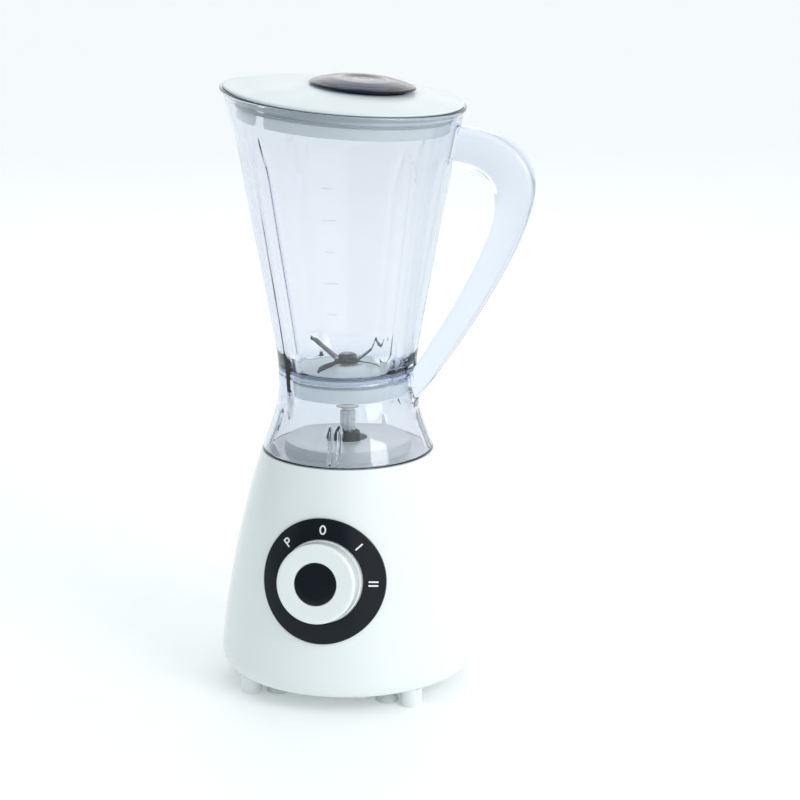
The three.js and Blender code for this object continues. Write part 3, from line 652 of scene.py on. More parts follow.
def rim_tilted(points):
    """Points given from the rim's middle, tilted with the rim and the lid about Y."""
    jug = sizes("part_jug")
    tilt = atan(jug.rim_slope)
    x, y, z = points[..., 0], points[..., 1], points[..., 2]
    return np.stack([x * cos(tilt) + z * sin(tilt), y,
                     z * cos(tilt) - x * sin(tilt) + jug.rim_z], -1)


def rim_fall(x, z):
    """How far the jug falls at a place: the rim's slope towards the handle, from none at a height
    of 290 mm to all of it just below the rim."""
    jug = sizes("part_jug")
    return jug.rim_slope * x * smooth_step(290, jug.rim_z - 8, z)


def rim_falling(points):
    """The jug's upper part lowered towards the handle with the rim."""
    return points - rim_fall(points[..., 0], points[..., 2])[..., None] * np.array([0, 0, 1.0])


def flute_angles():
    """Angles of the four flutes from the front."""
    jug = sizes("part_jug")
    first = jug.flute_angle
    return np.array([first, pi - first, pi + first, -first]) + jug.turned


def apart(angles, other):
    """The signed difference of two angles, between minus and plus half a turn."""
    return (angles - other + pi) % (2 * pi) - pi


def fine_angles(places, half, step, coarse):
    """Angles round the circle: coarse steps, and fine ones within half of each of the places."""
    near = [np.arange(place - half, place + half, step) for place in places]
    every = np.unique(np.round(np.concatenate([circle(coarse), *near]) % (2 * pi), 4))
    return every[np.concatenate([[True], np.diff(every) > step * 0.45])]


# ---- motor base
SEAT_DEPTH = 4.0    # how far the dial's seat reaches into the flank


class PART_OT_base_housing(bpy.types.Operator):
    """White conical housing with its shoulder, plinth, well and the dial's round seat"""
    bl_idname = "part.base_housing"
    bl_label = "Base housing"

    def execute(self, context):
        base, dial = sizes("part_base"), sizes("part_dial")
        wide, low, plinth_z = BASE_HIGH[0], BASE_LOW[2], BASE_HIGH[2]
        wall, shaft_hole, heel_r = base.wall, 5.2, base.lip_r + 1.5
        t = np.linspace(0, pi / 2, 14)
        heel = np.stack([heel_r + (wide - heel_r) * np.sin(t),
                         base.wide_z - (base.wide_z - low) * np.cos(t)], -1)
        z = np.linspace(base.wide_z, base.top_z - 1.0, 56)[1:]
        flank = np.stack([flank_radius(z), z], -1)
        inside = np.stack([flank_radius(z) - wall, z], -1)[::-1]
        top = outline([
            flank[-1], (base.top_r, base.top_z, 0.8), (base.plinth_r + 0.7, base.top_z, 0.5),
            (base.plinth_r, plinth_z, 0.9), (base.well_r, plinth_z, 0.7),
            (base.well_r, base.well_z, 0.8), (shaft_hole, base.well_z),
            (shaft_hole, base.well_z - wall),
            (base.well_r + wall, base.well_z - wall), (base.well_r + wall, plinth_z - wall),
            (base.plinth_r - wall, plinth_z - wall), (base.plinth_r - wall, base.top_z - wall),
            inside[1]])
        lip = outline([inside[-1], (base.lip_r - 1.0, low + 3.4), (base.lip_r - 1.0, low, 0.4),
                       heel[0]])
        profile = np.vstack([heel, flank[:-1], top, inside[2:-1], lip[:-1]])
        seat_r, seat_top = dial.inner_r - 0.5, 1.2
        seat = outline([(0, -SEAT_DEPTH), (seat_r, -SEAT_DEPTH), (seat_r, seat_top, 0.4),
                        (0, seat_top)])
        piece("base_shell", [turned(profile, circle(200), True), moved(turned(seat), on_dial)],
              white_gloss(), "base", "white_gloss", ("base_housing",))
        return {"FINISHED"}


def shifted(x, y, z=0.0):
    """A function that moves points by the given distances."""
    return lambda points: points + np.array([x, y, z])


class PART_OT_feet(bpy.types.Operator):
    """Four round posts and four soft suction cups under the base"""
    bl_idname = "part.feet"
    bl_label = "Feet"

    def execute(self, context):
        for kind, end, side in product(("foot", "suction_cup"), ("front", "rear"),
                                       ("left", "right")):
            name = f"{kind}_{end}_{side}"
            low, high = span(name)
            centre = (low + high) / 2
            r, foot, top = (high[0] - low[0]) / 2, low[2], high[2]
            if kind == "foot":
                profile = outline([(0, foot), (r - 0.9, foot, 0.6), (r - 0.4, foot + 1.6, 0.8),
                                   (r, top), (0, top)])
                material, slot = white_gloss(), "white_gloss"
            else:
                profile = outline([(0, foot + 2.4), (3.4, foot + 2.2, 1.2),
                                   (r - 1.2, foot, 0.4), (r, foot + 0.5, 0.4),
                                   (r - 0.6, foot + 3.4, 1.6), (4.8, foot + 6, 1.6),
                                   (4.8, top - 2.6, 0.3), (5.8, top - 2.2, 0.3), (5.8, top),
                                   (0, top)])
                material, slot = grey_rubber(), "grey_rubber"
            place = shifted(centre[0], centre[1])
            piece(name + "_round", [moved(turned(profile, circle(64)), place)], material, "base",
                  slot, (name,))
        return {"FINISHED"}


class PART_OT_cover_screws(bpy.types.Operator):
    """Four pan-head screws with cross recesses that hold the bottom cover"""
    bl_idname = "part.cover_screws"
    bl_label = "Cover screws"

    def execute(self, context):
        for number in range(1, 5):
            name = f"cover_screw_{number}"
            low, high = span(name)
            centre = (low + high) / 2
            head_r, head_high, shank_r, screw_high = 3.8, 2.1, 2.0, high[2] - low[2]
            slot_half, slot_reach, slot_depth = 0.45, 2.1, 1.3
            head = outline([(0, 0), (head_r, 0, 1.2), (head_r, head_high, 0.3),
                            (shank_r, head_high), (shank_r, screw_high), (0, screw_high)],
                           longest=0.35)
            points = revolved(head, circle(72))
            x, y = abs(points[..., 0]), abs(points[..., 1])
            cross = np.minimum(np.maximum(x / slot_half, y / slot_reach),
                               np.maximum(y / slot_half, x / slot_reach))
            points[..., 2] += slot_depth * smooth_step(1.35, 0.85, cross) * (points[..., 2] < 1.0)
            piece(name + "_crosshead",
                  [moved(lattice(points), shifted(centre[0], centre[1], low[2]))],
                  steel_turned(), "base", "steel", (name,))
        return {"FINISHED"}


class PART_OT_cord_gland(bpy.types.Operator):
    """Rubber gland of the supply cord at the rear of the base"""
    bl_idname = "part.cord_gland"
    bl_label = "Cord gland"

    def execute(self, context):
        low, high = span("cord_gland")
        r, z = (high[2] - low[2]) / 2, (high[2] + low[2]) / 2
        back = high[1]
        profile = outline([(3.6, back - 9.4), (r - 3.1, back - 9.4, 0.3), (r - 3.1, back - 3.2),
                           (r, back - 2.9, 0.3), (r - 0.4, back - 1.2, 0.8), (5.6, back - 0.8, 0.4),
                           (5.2, back, 0.5), (3.6, back, 0.5)], closed=True)

        def place(p):
            """Turns the gland's axis to +Y at its height."""
            return np.stack([p[..., 0], p[..., 2], z - p[..., 1]], -1)

        piece("cord_gland_sleeve", [moved(turned(profile, circle(72), True), place)],
              black_rubber(), "base", "black_rubber", ("cord_gland",))
        return {"FINISHED"}


# ---- dial
def stroke(path, lift, thick, width, closed=False):
    """A flat band of the given width along a path on the dial's face, wrapped on the flank."""
    if closed:
        tangent = np.roll(path, -1, axis=0) - np.roll(path, 1, axis=0)
    else:
        tangent = np.gradient(path, axis=0)
    tangent /= np.linalg.norm(tangent, axis=1)[:, None]
    side = np.stack([-tangent[:, 1], tangent[:, 0]], -1)
    section = np.array([(-1, 0), (-1, 1), (1, 1), (1, 0)], float)
    flat = path[:, None] + side[:, None] * section[:, :1] * width / 2
    points = wrapped(flat[..., 0], flat[..., 1], lift + thick * section[None, :, 1])
    return lattice(points if closed else capped(points), wrap_u=closed)


def mark_paths(height):
    """The strokes of P, 0, I and II about their middles: lists of (path, closed)."""
    half = height / 2
    bar = np.stack([np.zeros(9), np.linspace(-half, half, 9)], -1)
    sweep = np.linspace(pi / 2, -pi / 2, 15)
    bowl_r = half * 0.46
    bowl = np.stack([bowl_r * np.cos(sweep) + 0.3,
                     bowl_r * np.sin(sweep) + half - bowl_r - 0.35], -1)
    stem_x = -half * 0.45
    ends = [np.array([[stem_x, y]]) for y in (bowl[0, 1], bowl[-1, 1])]
    around = circle(40)
    oval = np.stack([half * 0.58 * np.sin(around), (half - 0.3) * np.cos(around)], -1)
    shift = np.array([half * 0.42, 0])
    return {"P": [(bar + (stem_x, 0), False), (np.vstack([ends[0], bowl, ends[1]]), False)],
            "0": [(oval, True)], "I": [(bar, False)],
            "II": [(bar - shift, False), (bar + shift, False)]}


class PART_OT_dial_ring(bpy.types.Operator):
    """Gloss black ring that lies on the flank, with its four printed marks"""
    bl_idname = "part.dial_ring"
    bl_label = "Dial ring"

    def execute(self, context):
        dial = sizes("part_dial")
        low, high = 0.05, dial.ring_rise
        section = outline([(dial.inner_r, low), (dial.inner_r, high, 0.35),
                           (dial.ring_r, high, 0.6), (dial.ring_r, low)], closed=True, longest=1.2)
        around = circle(180)
        r, lift = section[:, :1], section[:, 1:2]
        ring = wrapped(r * np.sin(around), r * np.cos(around), lift)
        piece("dial_ring_gloss", [lattice(ring, wrap_u=True)], black_gloss(), "base",
              "black_gloss", ("dial_ring",))
        paths = mark_paths(dial.mark_height)
        shells = []
        for mark, turn in (("P", -45), ("0", 0), ("I", 45), ("II", 90)):
            a = radians(turn)
            right, up = np.array([cos(a), -sin(a)]), np.array([sin(a), cos(a)])
            for number, (path, closed) in enumerate(paths[mark]):
                flat = up * dial.mark_r + path[:, :1] * right + path[:, 1:] * up
                lift = high + 0.01 + 0.015 * number
                shells.append(stroke(flat, lift, 0.06, dial.mark_width, closed))
        piece("dial_marks", shells, mark_print(), "base", "white_gloss")
        return {"FINISHED"}


class PART_OT_knob(bpy.types.Operator):
    """White hollow knob with a gloss black disc set in its face"""
    bl_idname = "part.knob"
    bl_label = "Knob"

    def execute(self, context):
        dial = sizes("part_dial")
        front, back, r = dial.knob_reach, 1.6, dial.knob_r
        floor = front - 1.6
        knob = outline([(0, floor), (dial.cap_r + 0.35, floor), (dial.cap_r + 0.35, front, 0.35),
                        (r - 0.35, front, 2.3), (r, back, 0.5), (r - 2.4, back),
                        (r - 2.4, floor - 2), (0, floor - 2)], steps=8)
        piece("knob_shell", [moved(turned(knob, circle(160)), on_dial)], white_gloss(), "dial",
              "white_gloss", ("knob",))
        disc = outline([(0, floor + 0.1), (dial.cap_r, floor + 0.1), (dial.cap_r, front, 0.5),
                        (dial.cap_r * 0.6, front + 0.05, 1.0), (0, front + 0.05)])
        piece("knob_disc", [moved(turned(disc, circle(120)), on_dial)], black_gloss(), "dial",
              "black_gloss", ("knob_cap",))
        return {"FINISHED"}


# ---- drive
def lobed(points, dip, lobes=6):
    """Points drawn in towards the axis by dip between the lobes: dip (1 - cos(lobes a)) / 2."""
    a = np.arctan2(points[..., 1], points[..., 0])
    drawn = dip * (1 - np.cos(lobes * a)) / 2
    return pushed(points, np.where(polar(points)[0] > dip, -drawn, 0.0))


class PART_OT_drive(bpy.types.Operator):
    """Rubber drive coupling with a six-lobed recess, and the splash slinger under it"""
    bl_idname = "part.drive"
    bl_label = "Drive coupling"

    def execute(self, context):
        low, high = span("drive_coupling")
        r, top, bottom = (high[0] - low[0]) / 2, high[2], low[2]
        outside = outline([(0, bottom), (r, bottom, 0.6), (r, top, 0.9), (6.1, top)])
        recess = outline([(6.1, top), (5.5, top, 0.3), (5.5, top - 5.0, 0.3), (0.02, top - 5.0)])
        around = circle(144)
        points = np.concatenate([revolved(outside[:-1], around),
                                 lobed(revolved(recess, around), 1.0)])
        piece("drive_coupling_cup", [lattice(points)], black_rubber(), "rotor", "black_rubber",
              ("drive_coupling",))
        low, high = span("splash_slinger")
        r = (high[0] - low[0]) / 2
        slinger = outline([(4.3, low[2]), (r, low[2], 0.3), (r, high[2], 0.3),
                           (7, high[2] - 0.4, 0.5), (4.3, high[2])], closed=True)
        piece("splash_slinger_disc", [turned(slinger, circle(72), True)], black_rubber(), "rotor",
              "black_rubber", ("splash_slinger",))
        return {"FINISHED"}


# ---- jug
def fluted(points, weight):
    """Points pressed towards the axis in the flutes. A flute's half width is constant along its
    middle and closes as 1 - t^2 to a point at each end, and its edges are soft."""
    jug = sizes("part_jug")
    z, (r, a) = points[..., 2], polar(points)
    over = np.clip((z - jug.flute_high) / jug.flute_point + 1, 0, None)
    under = np.clip((jug.flute_low - z) / jug.flute_point + 1, 0, None)
    half = jug.flute_width / 2 * (1 - over ** 2 - under ** 2)
    pressed = sum(smooth_step(0.0, jug.flute_edge, half - abs(apart(a, place)) * r)
                  for place in flute_angles())
    return pushed(points, -jug.flute_depth * pressed * weight)


def lock_angles():
    """Angles of the four pairs of lock ribs inside the skirt."""
    return circle(4) + sizes("part_jug").turned


def ribbed(points, weight):
    """Points of the skirt's inner wall drawn inwards along the lock ribs, two to a pair, which
    fade out just below the waist."""
    jug = sizes("part_jug")
    r, a = polar(points)
    rib = sum(smooth_step(1.5, 0.2, abs(abs(apart(a, place)) * r - jug.rib_apart))
              for place in lock_angles())
    return pushed(points, -jug.rib * rib * weight * smooth_step(172, 169, points[..., 2]))


def jug_profile():
    """The jug's closed section of (radius, height, share of the flutes, share of the lock ribs):
    up its outer face, over the rim and down its inner face."""
    jug = sizes("part_jug")
    foot, rim = JUG_FOOT, jug.rim_z
    edge, cone_low, bowl_low, skirt_wall, skirt_top = 1.2, 207, 212, 3.2, 174
    z = np.concatenate([np.linspace(foot + edge, cone_low - 2, 30),
                        np.linspace(cone_low, rim - 3.4, 76)])
    outer = np.stack([jug_radius(z), z], -1)
    rim_r = float(jug_radius(rim))
    lip = outline([outer[-1], (rim_r + 0.2, rim - 2.8, 0.6), (rim_r + 1.1, rim - 1.6, 0.7),
                   (rim_r + 0.9, rim, 0.8), (rim_r - jug.wall + 0.5, rim, 0.9),
                   (float(jug_radius(rim - 4)) - jug.wall, rim - 4)])
    down = np.linspace(rim - 5, bowl_low, 72)
    inner = np.stack([jug_radius(down) - jug.wall, down], -1)
    seat_low, ledge_low = CARRIER_LOW[2] + 6.0, jug.ledge_z - 3.0
    floor = outline([inner[-1], (38.6, jug.ledge_z + 2.4, 3.0),
                     (jug.ledge_r + 1.2, jug.ledge_z, 1.4),
                     (jug.ledge_r, jug.ledge_z - 0.4, 0.5), (jug.ledge_r, ledge_low, 0.4),
                     (jug.seat_r, ledge_low, 0.6), (jug.seat_r, seat_low, 1.0), (40.6, 180, 3.0)])
    under = np.linspace(skirt_top, foot + edge, 16)
    skirt = np.stack([jug_radius(under) - skirt_wall, under], -1)
    foot_r = float(jug_radius(foot))
    end = outline([skirt[-1], (foot_r - skirt_wall, foot, 0.7), (foot_r - 0.2, foot, 0.7),
                   outer[0]])
    parts = [(outer[:-1], 1, 0), (lip[:-1], 0, 0), (inner[:-1], 1, 0), (floor, 0, 0),
             (skirt, 0, 1), (end[1:-1], 0, 0)]
    line = np.vstack([part for part, _, _ in parts])
    shares = np.vstack([np.full((len(part), 2), (press, rib)) for part, press, rib in parts])
    return line, shares[:, :1], shares[:, 1:]


class PART_OT_jug_wall(bpy.types.Operator):
    """Clear jug: a hollow cone with pressed flutes, a spout, a ledge and a flared skirt"""
    bl_idname = "part.jug_wall"
    bl_label = "Jug wall"

    def execute(self, context):
        jug = sizes("part_jug")
        profile, press, rib = jug_profile()
        near_flutes = fine_angles(flute_angles(), radians(13), radians(0.95), 96)
        angles = np.unique(np.concatenate([near_flutes, *[
            place % (2 * pi) + np.radians(np.arange(-5.5, 5.6, 0.6)) for place in lock_angles()]]))
        angles = angles[np.concatenate([[True], np.diff(angles) > radians(0.35)])]
        points = ribbed(fluted(revolved(profile, angles), press), rib)
        points = swollen(points, smooth_step(335, jug.rim_z, points[..., 2]))
        piece("jug_wall", [lattice(rim_falling(points), wrap_u=True)], jug_clear(), "jug",
              "clear_jug", ("jug_body",), sharp=50)
        return {"FINISHED"}


class PART_OT_jug_scale(bpy.types.Operator):
    """Raised scale lines on the front of the jug"""
    bl_idname = "part.jug_scale"
    bl_label = "Scale lines"

    def execute(self, context):
        jug = sizes("part_jug")
        shells = []
        section = np.array([(-0.28, 0.02), (-0.18, 0.3), (0.18, 0.3), (0.28, 0.02)])
        for number, z in enumerate(np.linspace(325, 245, 5)):
            half = 4.2 if number % 2 else 3.0
            r = float(jug_radius(z))
            a = jug.turned + np.linspace(-half, half, 9) / r
            out = np.stack([np.sin(a), -np.cos(a), 0 * a], -1)
            centres = out * r + np.array([0, 0, z])
            upward = np.broadcast_to([0.0, 0.0, 1.0], out.shape)
            shells.append(moved(swept(centres, upward, out, section), rim_falling))
        piece("jug_scale_lines", shells, jug_clear(), "jug", "clear_jug")
        return {"FINISHED"}


class PART_OT_jug_grip(bpy.types.Operator):
    """Clear handle: a rounded bar between an outer and an inner curve, which meets the jug"""
    bl_idname = "part.jug_grip"
    bl_label = "Jug handle"

    def execute(self, context):
        jug = sizes("part_jug")
        reach, knee, inner_reach, inner_knee = GRIP_HIGH[0], 318.0, 94.1, 307
        top, low_end, end_rings = GRIP_HIGH[2], GRIP_LOW[2], 9
        outer = np.vstack([
            cubic([(68, top), (96, top - 0.5), (reach, 341), (reach, knee)], 30)[:-1],
            cubic([(reach, knee), (reach, 290), (84, 232), (42, low_end - 1)], 44)])
        inner = np.vstack([
            cubic([(62, 331), (80, 331), (94, 324), (inner_reach, inner_knee)], 30)[:-1],
            cubic([(inner_reach, inner_knee), (94.2, 288), (68, 240), (42, 200)], 44)])
        middle, half = (outer + inner) / 2, np.linalg.norm(outer - inner, axis=1)[:, None] / 2
        toward = (outer - inner) / (2 * half)
        corner = radians(90) * np.arange(4)[:, None] + np.linspace(0, pi / 2, 7)
        edge = jug.grip_edge
        sign = np.sign(np.stack([np.cos(corner.mean(1)), np.sin(corner.mean(1))], -1))[:, None]
        arc = np.stack([np.cos(corner), np.sin(corner)], -1) * edge
        size = np.stack([half[:, 0], np.full(len(half), jug.grip / 2)], -1)[:, None, None]
        section = (sign * (size - edge) + arc).reshape(len(half), -1, 2)
        x = middle[:, :1] + section[..., 0] * toward[:, :1]
        z = middle[:, 1:] + section[..., 0] * toward[:, 1:]
        points = np.stack([x, section[..., 1], z], -1)
        closing = np.linspace(1, 0, end_rings)[:, None, None]
        first, last = (ring.mean(0) + (ring - ring.mean(0)) * closing
                       for ring in (points[0], points[-1]))
        points = np.concatenate([first[::-1], points[1:-1], last])
        x, z = points[..., 0], points[..., 2]
        wall = jug_radius(z + rim_fall(x, z + 4)) + 0.12
        held = np.sqrt(np.maximum(wall ** 2 - points[..., 1] ** 2, 1.0))
        points[..., 0] = np.maximum(points[..., 0], held)
        for part in (slice(0, end_rings), slice(-end_rings, None)):
            points[part, :, 0] = held[part]
        piece("jug_grip", [lattice(points)], grip_clear(), "jug", "clear_jug",
              ("jug_handle",), sharp=50)
        return {"FINISHED"}


# ---- carrier and blades
class PART_OT_blade_carrier(bpy.types.Operator):
    """Frosted bowl that carries the blades, with its gasket and brass bush"""
    bl_idname = "part.blade_carrier"
    bl_label = "Blade carrier"

    def execute(self, context):
        jug = sizes("part_jug")
        r = CARRIER_HIGH[0]
        low, top = CARRIER_LOW[2], CARRIER_HIGH[2]
        step, floor, ledge = jug.ledge_z - 5.6, low + 10.4, jug.ledge_r - 0.35
        bore_r, boss_top = 7.35, 199.6
        profile = outline([
            (bore_r, low), (12, low, 0.6), (13.2, low + 8, 1.5), (r - 4, low + 8, 0.5),
            (r - 3, low + 6, 0.4), (r, low + 6, 0.6), (r, step, 0.5), (ledge, step, 0.3),
            (ledge, top, 0.5), (ledge - 2.6, top - 0.3, 0.8), (ledge - 5, floor + 1, 2.2),
            (17.5, floor, 2.5), (12.5, 196, 2.0), (10, boss_top, 0.8), (bore_r, boss_top)],
            closed=True, steps=6)
        frosted = moulded("frosted_plastic", tint("carrier"), 0.42, grain=0.0001, mottle=0.05)
        # Painted glow: the carrier gives off a faint light to brighten it where it sits in shade
        # inside the jug.
        painted_glow(frosted, (0.82, 0.96, 1.0, 1.0), 0.27)
        piece("carrier_bowl", [turned(profile, circle(144), True)], frosted, "jug",
              "frosted_plastic", ("blade_carrier",))
        low, high = span("carrier_gasket")
        r = (high[0] - low[0]) / 2
        gasket = outline([(ledge + 0.6, low[2], 0.5), (r, low[2], 0.5), (r, high[2], 0.5),
                          (ledge + 0.6, high[2], 0.5)], closed=True)
        piece("carrier_gasket_ring", [turned(gasket, circle(96), True)], grey_rubber(), "jug",
              "grey_rubber", ("carrier_gasket",))
        low, high = span("spindle_bush")
        bush = outline([(4.3, low[2]), (7, low[2], 0.4), (7, high[2], 0.4), (4.3, high[2], 0.3)],
                       closed=True)
        piece("spindle_bush_sleeve", [turned(bush, circle(64), True)], brass(), "jug", "brass",
              ("spindle_bush",))
        return {"FINISHED"}


def blade_surface(turn, bend, height):
    """A blade from tip to tip. Its middle is flat and its arms rise or fall in a straight line
    after a short bend, its width narrows to slanting tips, and the leading half of each arm is
    ground down to an edge."""
    blade = sizes("part_blades")
    flat = 6.5
    t = np.concatenate([np.linspace(-1, -0.2, 34), np.linspace(-0.19, 0.19, 13),
                        np.linspace(0.2, 1, 34)])
    x = t * blade.reach
    far = abs(x)
    out = np.clip((far - flat) / (blade.reach - flat), 0, None)
    soft = np.sqrt((far - flat) ** 2 + 3.0) - 1.7
    climb = np.where(far > flat - 2, np.clip(soft + (far - flat), 0, None), 0)
    rise = bend * climb / (2 * (blade.reach - flat))
    side = np.sign(t)
    tip = smooth_step(0.86, 1.0, abs(t))
    half = blade.width / 2 * (1 - 0.3 * out)
    lead = half * (1 - 0.35 * tip)
    trail = half * (1 - 1.25 * tip)
    ground = blade.thick * 0.47 * smooth_step(0.28, 0.38, abs(t))
    wide = 2.2
    plus_lead = side > 0
    plus, minus = np.where(plus_lead, lead, trail), np.where(plus_lead, trail, lead)
    thin_plus, thin_minus = np.where(plus_lead, ground, 0), np.where(plus_lead, 0, ground)
    rows = [(plus, thin_plus, 0), (plus - wide, 0 * x, 0), (-minus + wide, 0 * x, 0),
            (-minus, thin_minus, 0), (-minus, -thin_minus, 1), (-minus + wide, 0 * x, 1),
            (plus - wide, 0 * x, 1), (plus, -thin_plus, 1)]
    y = np.stack([row[0] for row in rows], -1)
    z = np.stack([rise + row[1] + row[2] * blade.thick for row in rows], -1)
    slant = 0.12 * y * side[:, None] * smooth_step(0.6, 1.0, abs(t))[:, None]
    points = capped(np.stack([x[:, None] - slant, y, z + height], -1))
    c, s = cos(turn), sin(turn)
    return np.stack([points[..., 0] * c - points[..., 1] * s,
                     points[..., 0] * s + points[..., 1] * c, points[..., 2]], -1)


class PART_OT_blades(bpy.types.Operator):
    """Two crossed steel blades on their spindle, with washer and nut"""
    bl_idname = "part.blades"
    bl_label = "Blades"

    def execute(self, context):
        blade = sizes("part_blades")
        lower_z, upper_z = span("lower_blade")[1][2] - blade.thick, span("upper_blade")[0][2]
        steel = blade_steel_painted_dark()
        for name, node, turn, bend, z in (
                ("blade_low", "lower_blade", blade.lower_turn, -blade.drop, lower_z),
                ("blade_high", "upper_blade", blade.upper_turn, blade.lift, upper_z)):
            piece(name, [lattice(blade_surface(turn, bend, z))], steel, "blades", "steel",
                  (node,), sharp=20)
        bottom, top = (corner[2] for corner in span("blade_nut"))
        flats = circle(72)
        dome = outline([(0, bottom), (5.6, bottom, 0.2), (5.6, bottom + 1.5, 0.4),
                        (4.4, top - 0.4, 0.9), (0, top)])
        nut = revolved(dome, flats)
        hexagon = np.cos(pi / 6) / np.cos((flats % (pi / 3)) - pi / 6)
        square = (dome[:, 1] < bottom + 1.6)[:, None] * (hexagon * 1.07 - 1) + 1
        nut[..., :2] *= square[..., None]
        piece("blade_nut_dome", [lattice(nut)], steel, "blades", "steel", ("blade_nut",))
        low, high = span("blade_washer")
        washer = outline([(3.35, low[2]), (6.4, low[2], 0.3), (6.4, high[2], 0.3),
                          (3.35, high[2], 0.2)], closed=True)
        piece("blade_washer_ring", [turned(washer, circle(64), True)], steel, "blades", "steel",
              ("blade_washer",))
        low, high = span("blade_spindle")
        seat_z, drive_top = washer[0, 1] - 0.4, 175.5
        rod = outline([(0, drive_top - 1.0), (4, drive_top - 0.2, 0.5), (4, seat_z - 0.1, 0.2),
                       (3, seat_z), (3, high[2]), (0, high[2])])
        drive = outline([(0.02, low[2]), (4.9, low[2], 0.5), (4.9, drive_top, 0.4),
                         (0.02, drive_top + 0.5)])
        piece("blade_spindle_rod",
              [turned(rod, circle(48)), lattice(lobed(revolved(drive, circle(72)), 1.0))],
              steel_turned(), "blades", "steel", ("blade_spindle",))
        return {"FINISHED"}


# ---- lid and cap
class PART_OT_lid(bpy.types.Operator):
    """White lid: a low dome with a filler hole and collar, over a skirt inside the jug"""
    bl_idname = "part.lid"
    bl_label = "Lid"

    def execute(self, context):
        lid = sizes("part_lid")
        hole, collar, offset = lid.cup_r + 0.6, lid.cup_r + 2.4, lid.cap_offset
        drop, skirt_in, edge = lid.cup_drop + 6, lid.skirt_r - 2.2, lid.r
        bottom = -lid.skirt_drop
        rows = []

        def ring(off, r, z, dome=0.0, swell=0.0, skirt=0.0):
            """One ring of the lid: its centre's offset, radius, height and shares."""
            rows.append((off, r, z, dome, swell, skirt))

        for r, z in ((collar, -drop + 0.5), (collar - 0.4, -drop), (hole + 0.4, -drop),
                     (hole, -drop + 0.5), (hole, -8), (hole, 2)):
            ring(offset, r, z)
        for out, z in ((0.0, -1.0), (0.15, -0.4), (0.6, -0.1), (1.2, 0.0)):
            ring(offset, hole + out, z, dome=1.0)
        for t in np.linspace(0, 1, 40)[1:-1]:
            ring(offset * (1 - t), (hole + 1.2) * (1 - t) + (edge - 1.6) * t, 0, 1.0, t ** 3)
        for out, z in ((-1.0, 1.95), (-0.35, 1.6), (-0.02, 1.0), (-0.05, 0.55), (-0.3, 0.36)):
            ring(0, edge + out, z, swell=1.0)
        ring(0, lid.skirt_r + 0.4, 0.35, swell=0.3)
        for z in (0.0, -2.4, -4, -5.2, -7, -9, -10.4, -12, bottom + 0.7):
            ring(0, lid.skirt_r, z, skirt=1.0)
        for r, z in ((lid.skirt_r - 0.3, bottom), (skirt_in + 0.3, bottom),
                     (skirt_in, bottom + 0.5), (skirt_in, -2.4)):
            ring(0, r, z, skirt=1.0)
        ring(0, skirt_in - 1, -2.4)
        for t in np.linspace(0, 1, 12)[1:]:
            ring(offset * t, (skirt_in - 1) * (1 - t) + (collar + 0.6) * t, -lid.plate, dome=1.0)
        ring(offset, collar, 2)
        ring(offset, collar, -8)
        off, r, z, dome, swell, skirt = (column[:, None] for column in np.array(rows, float).T)
        notches = np.radians([-37.0, 143.0])
        slot_at = radians(48.0)
        angles = fine_angles([*notches, slot_at], radians(11.5), radians(0.5), 128)
        points = revolved(np.concatenate([r, z], 1), angles)
        points[..., 0] += off
        reach = np.hypot(points[..., 0], points[..., 1])
        crown = lid.rise - (lid.rise - 1.9) * (reach / (edge - 1.6)) ** 2.2
        points[..., 2] = np.where(dome > 0, crown + z, points[..., 2])
        notch = sum(smooth_step(radians(4.6), radians(4.1), abs(apart(angles, middle)))
                    for middle in notches)
        points[..., 2] += skirt * notch * np.clip(-2.8 - points[..., 2], 0, None)
        across = apart(angles, slot_at)[None] * lid.skirt_r / 10.5
        up = (points[..., 2] + 4.6) / 1.5
        oval = smooth_step(1.25, 0.8, np.sqrt(across ** 4 + up ** 4)) * skirt * (r > skirt_in + 1)
        points = rim_tilted(swollen(pushed(points, -1.1 * oval), swell * 0.95))
        piece("lid_shell", [lattice(points, wrap_u=True)], lid_plastic(), "lid", "white_gloss",
              ("lid",), sharp=32)
        low, seat_r = -8.4, lid.skirt_r + 0.35
        seal = outline([(seat_r, low), (67.1, low + 0.2, 0.3), (67.7, low + 0.8, 0.5),
                        (67.1, low + 1.3, 0.2), (67.6, low + 1.8, 0.4), (67.0, low + 2.3, 0.3),
                        (seat_r, low + 2.3)], closed=True)
        piece("lid_seal_ring", [moved(turned(seal, circle(160), True), rim_tilted)],
              grey_rubber(), "lid", "grey_rubber", ("lid_seal",))
        return {"FINISHED"}


class PART_OT_measuring_cap(bpy.types.Operator):
    """Clear blue measuring cap: a cup with a dished and ridged top flange"""
    bl_idname = "part.measuring_cap"
    bl_label = "Measuring cap"

    def execute(self, context):
        lid = sizes("part_lid")
        top, r, cup = lid.cap_top, lid.cap_r, lid.cup_r
        foot = top - 4.9
        profile = outline([
            (0, top - 1.2), (8, top - 1.3, 2.0), (14, top - 0.2, 2.0), (20, top - 0.5, 2.0),
            (27, top - 2.0, 2.0), (r - 1.0, foot + 1.2, 1.4), (r, foot + 0.3, 0.4),
            (r - 0.6, foot, 0.3), (cup + 0.1, foot, 0.5), (cup, -lid.cup_drop, 0.5),
            (cup - 2, -lid.cup_drop, 0.5), (cup - 2.2, foot + 0.8, 1.6), (17, top - 3.0, 2.0),
            (0, top - 3.4)], steps=7, longest=2.0)
        shell = moved(moved(turned(profile, circle(160)), shifted(lid.cap_offset, 0)), rim_tilted)
        piece("measuring_cap_cup", [shell], cap_clear(), "cap", "clear_blue", ("measuring_cap",))
        return {"FINISHED"}


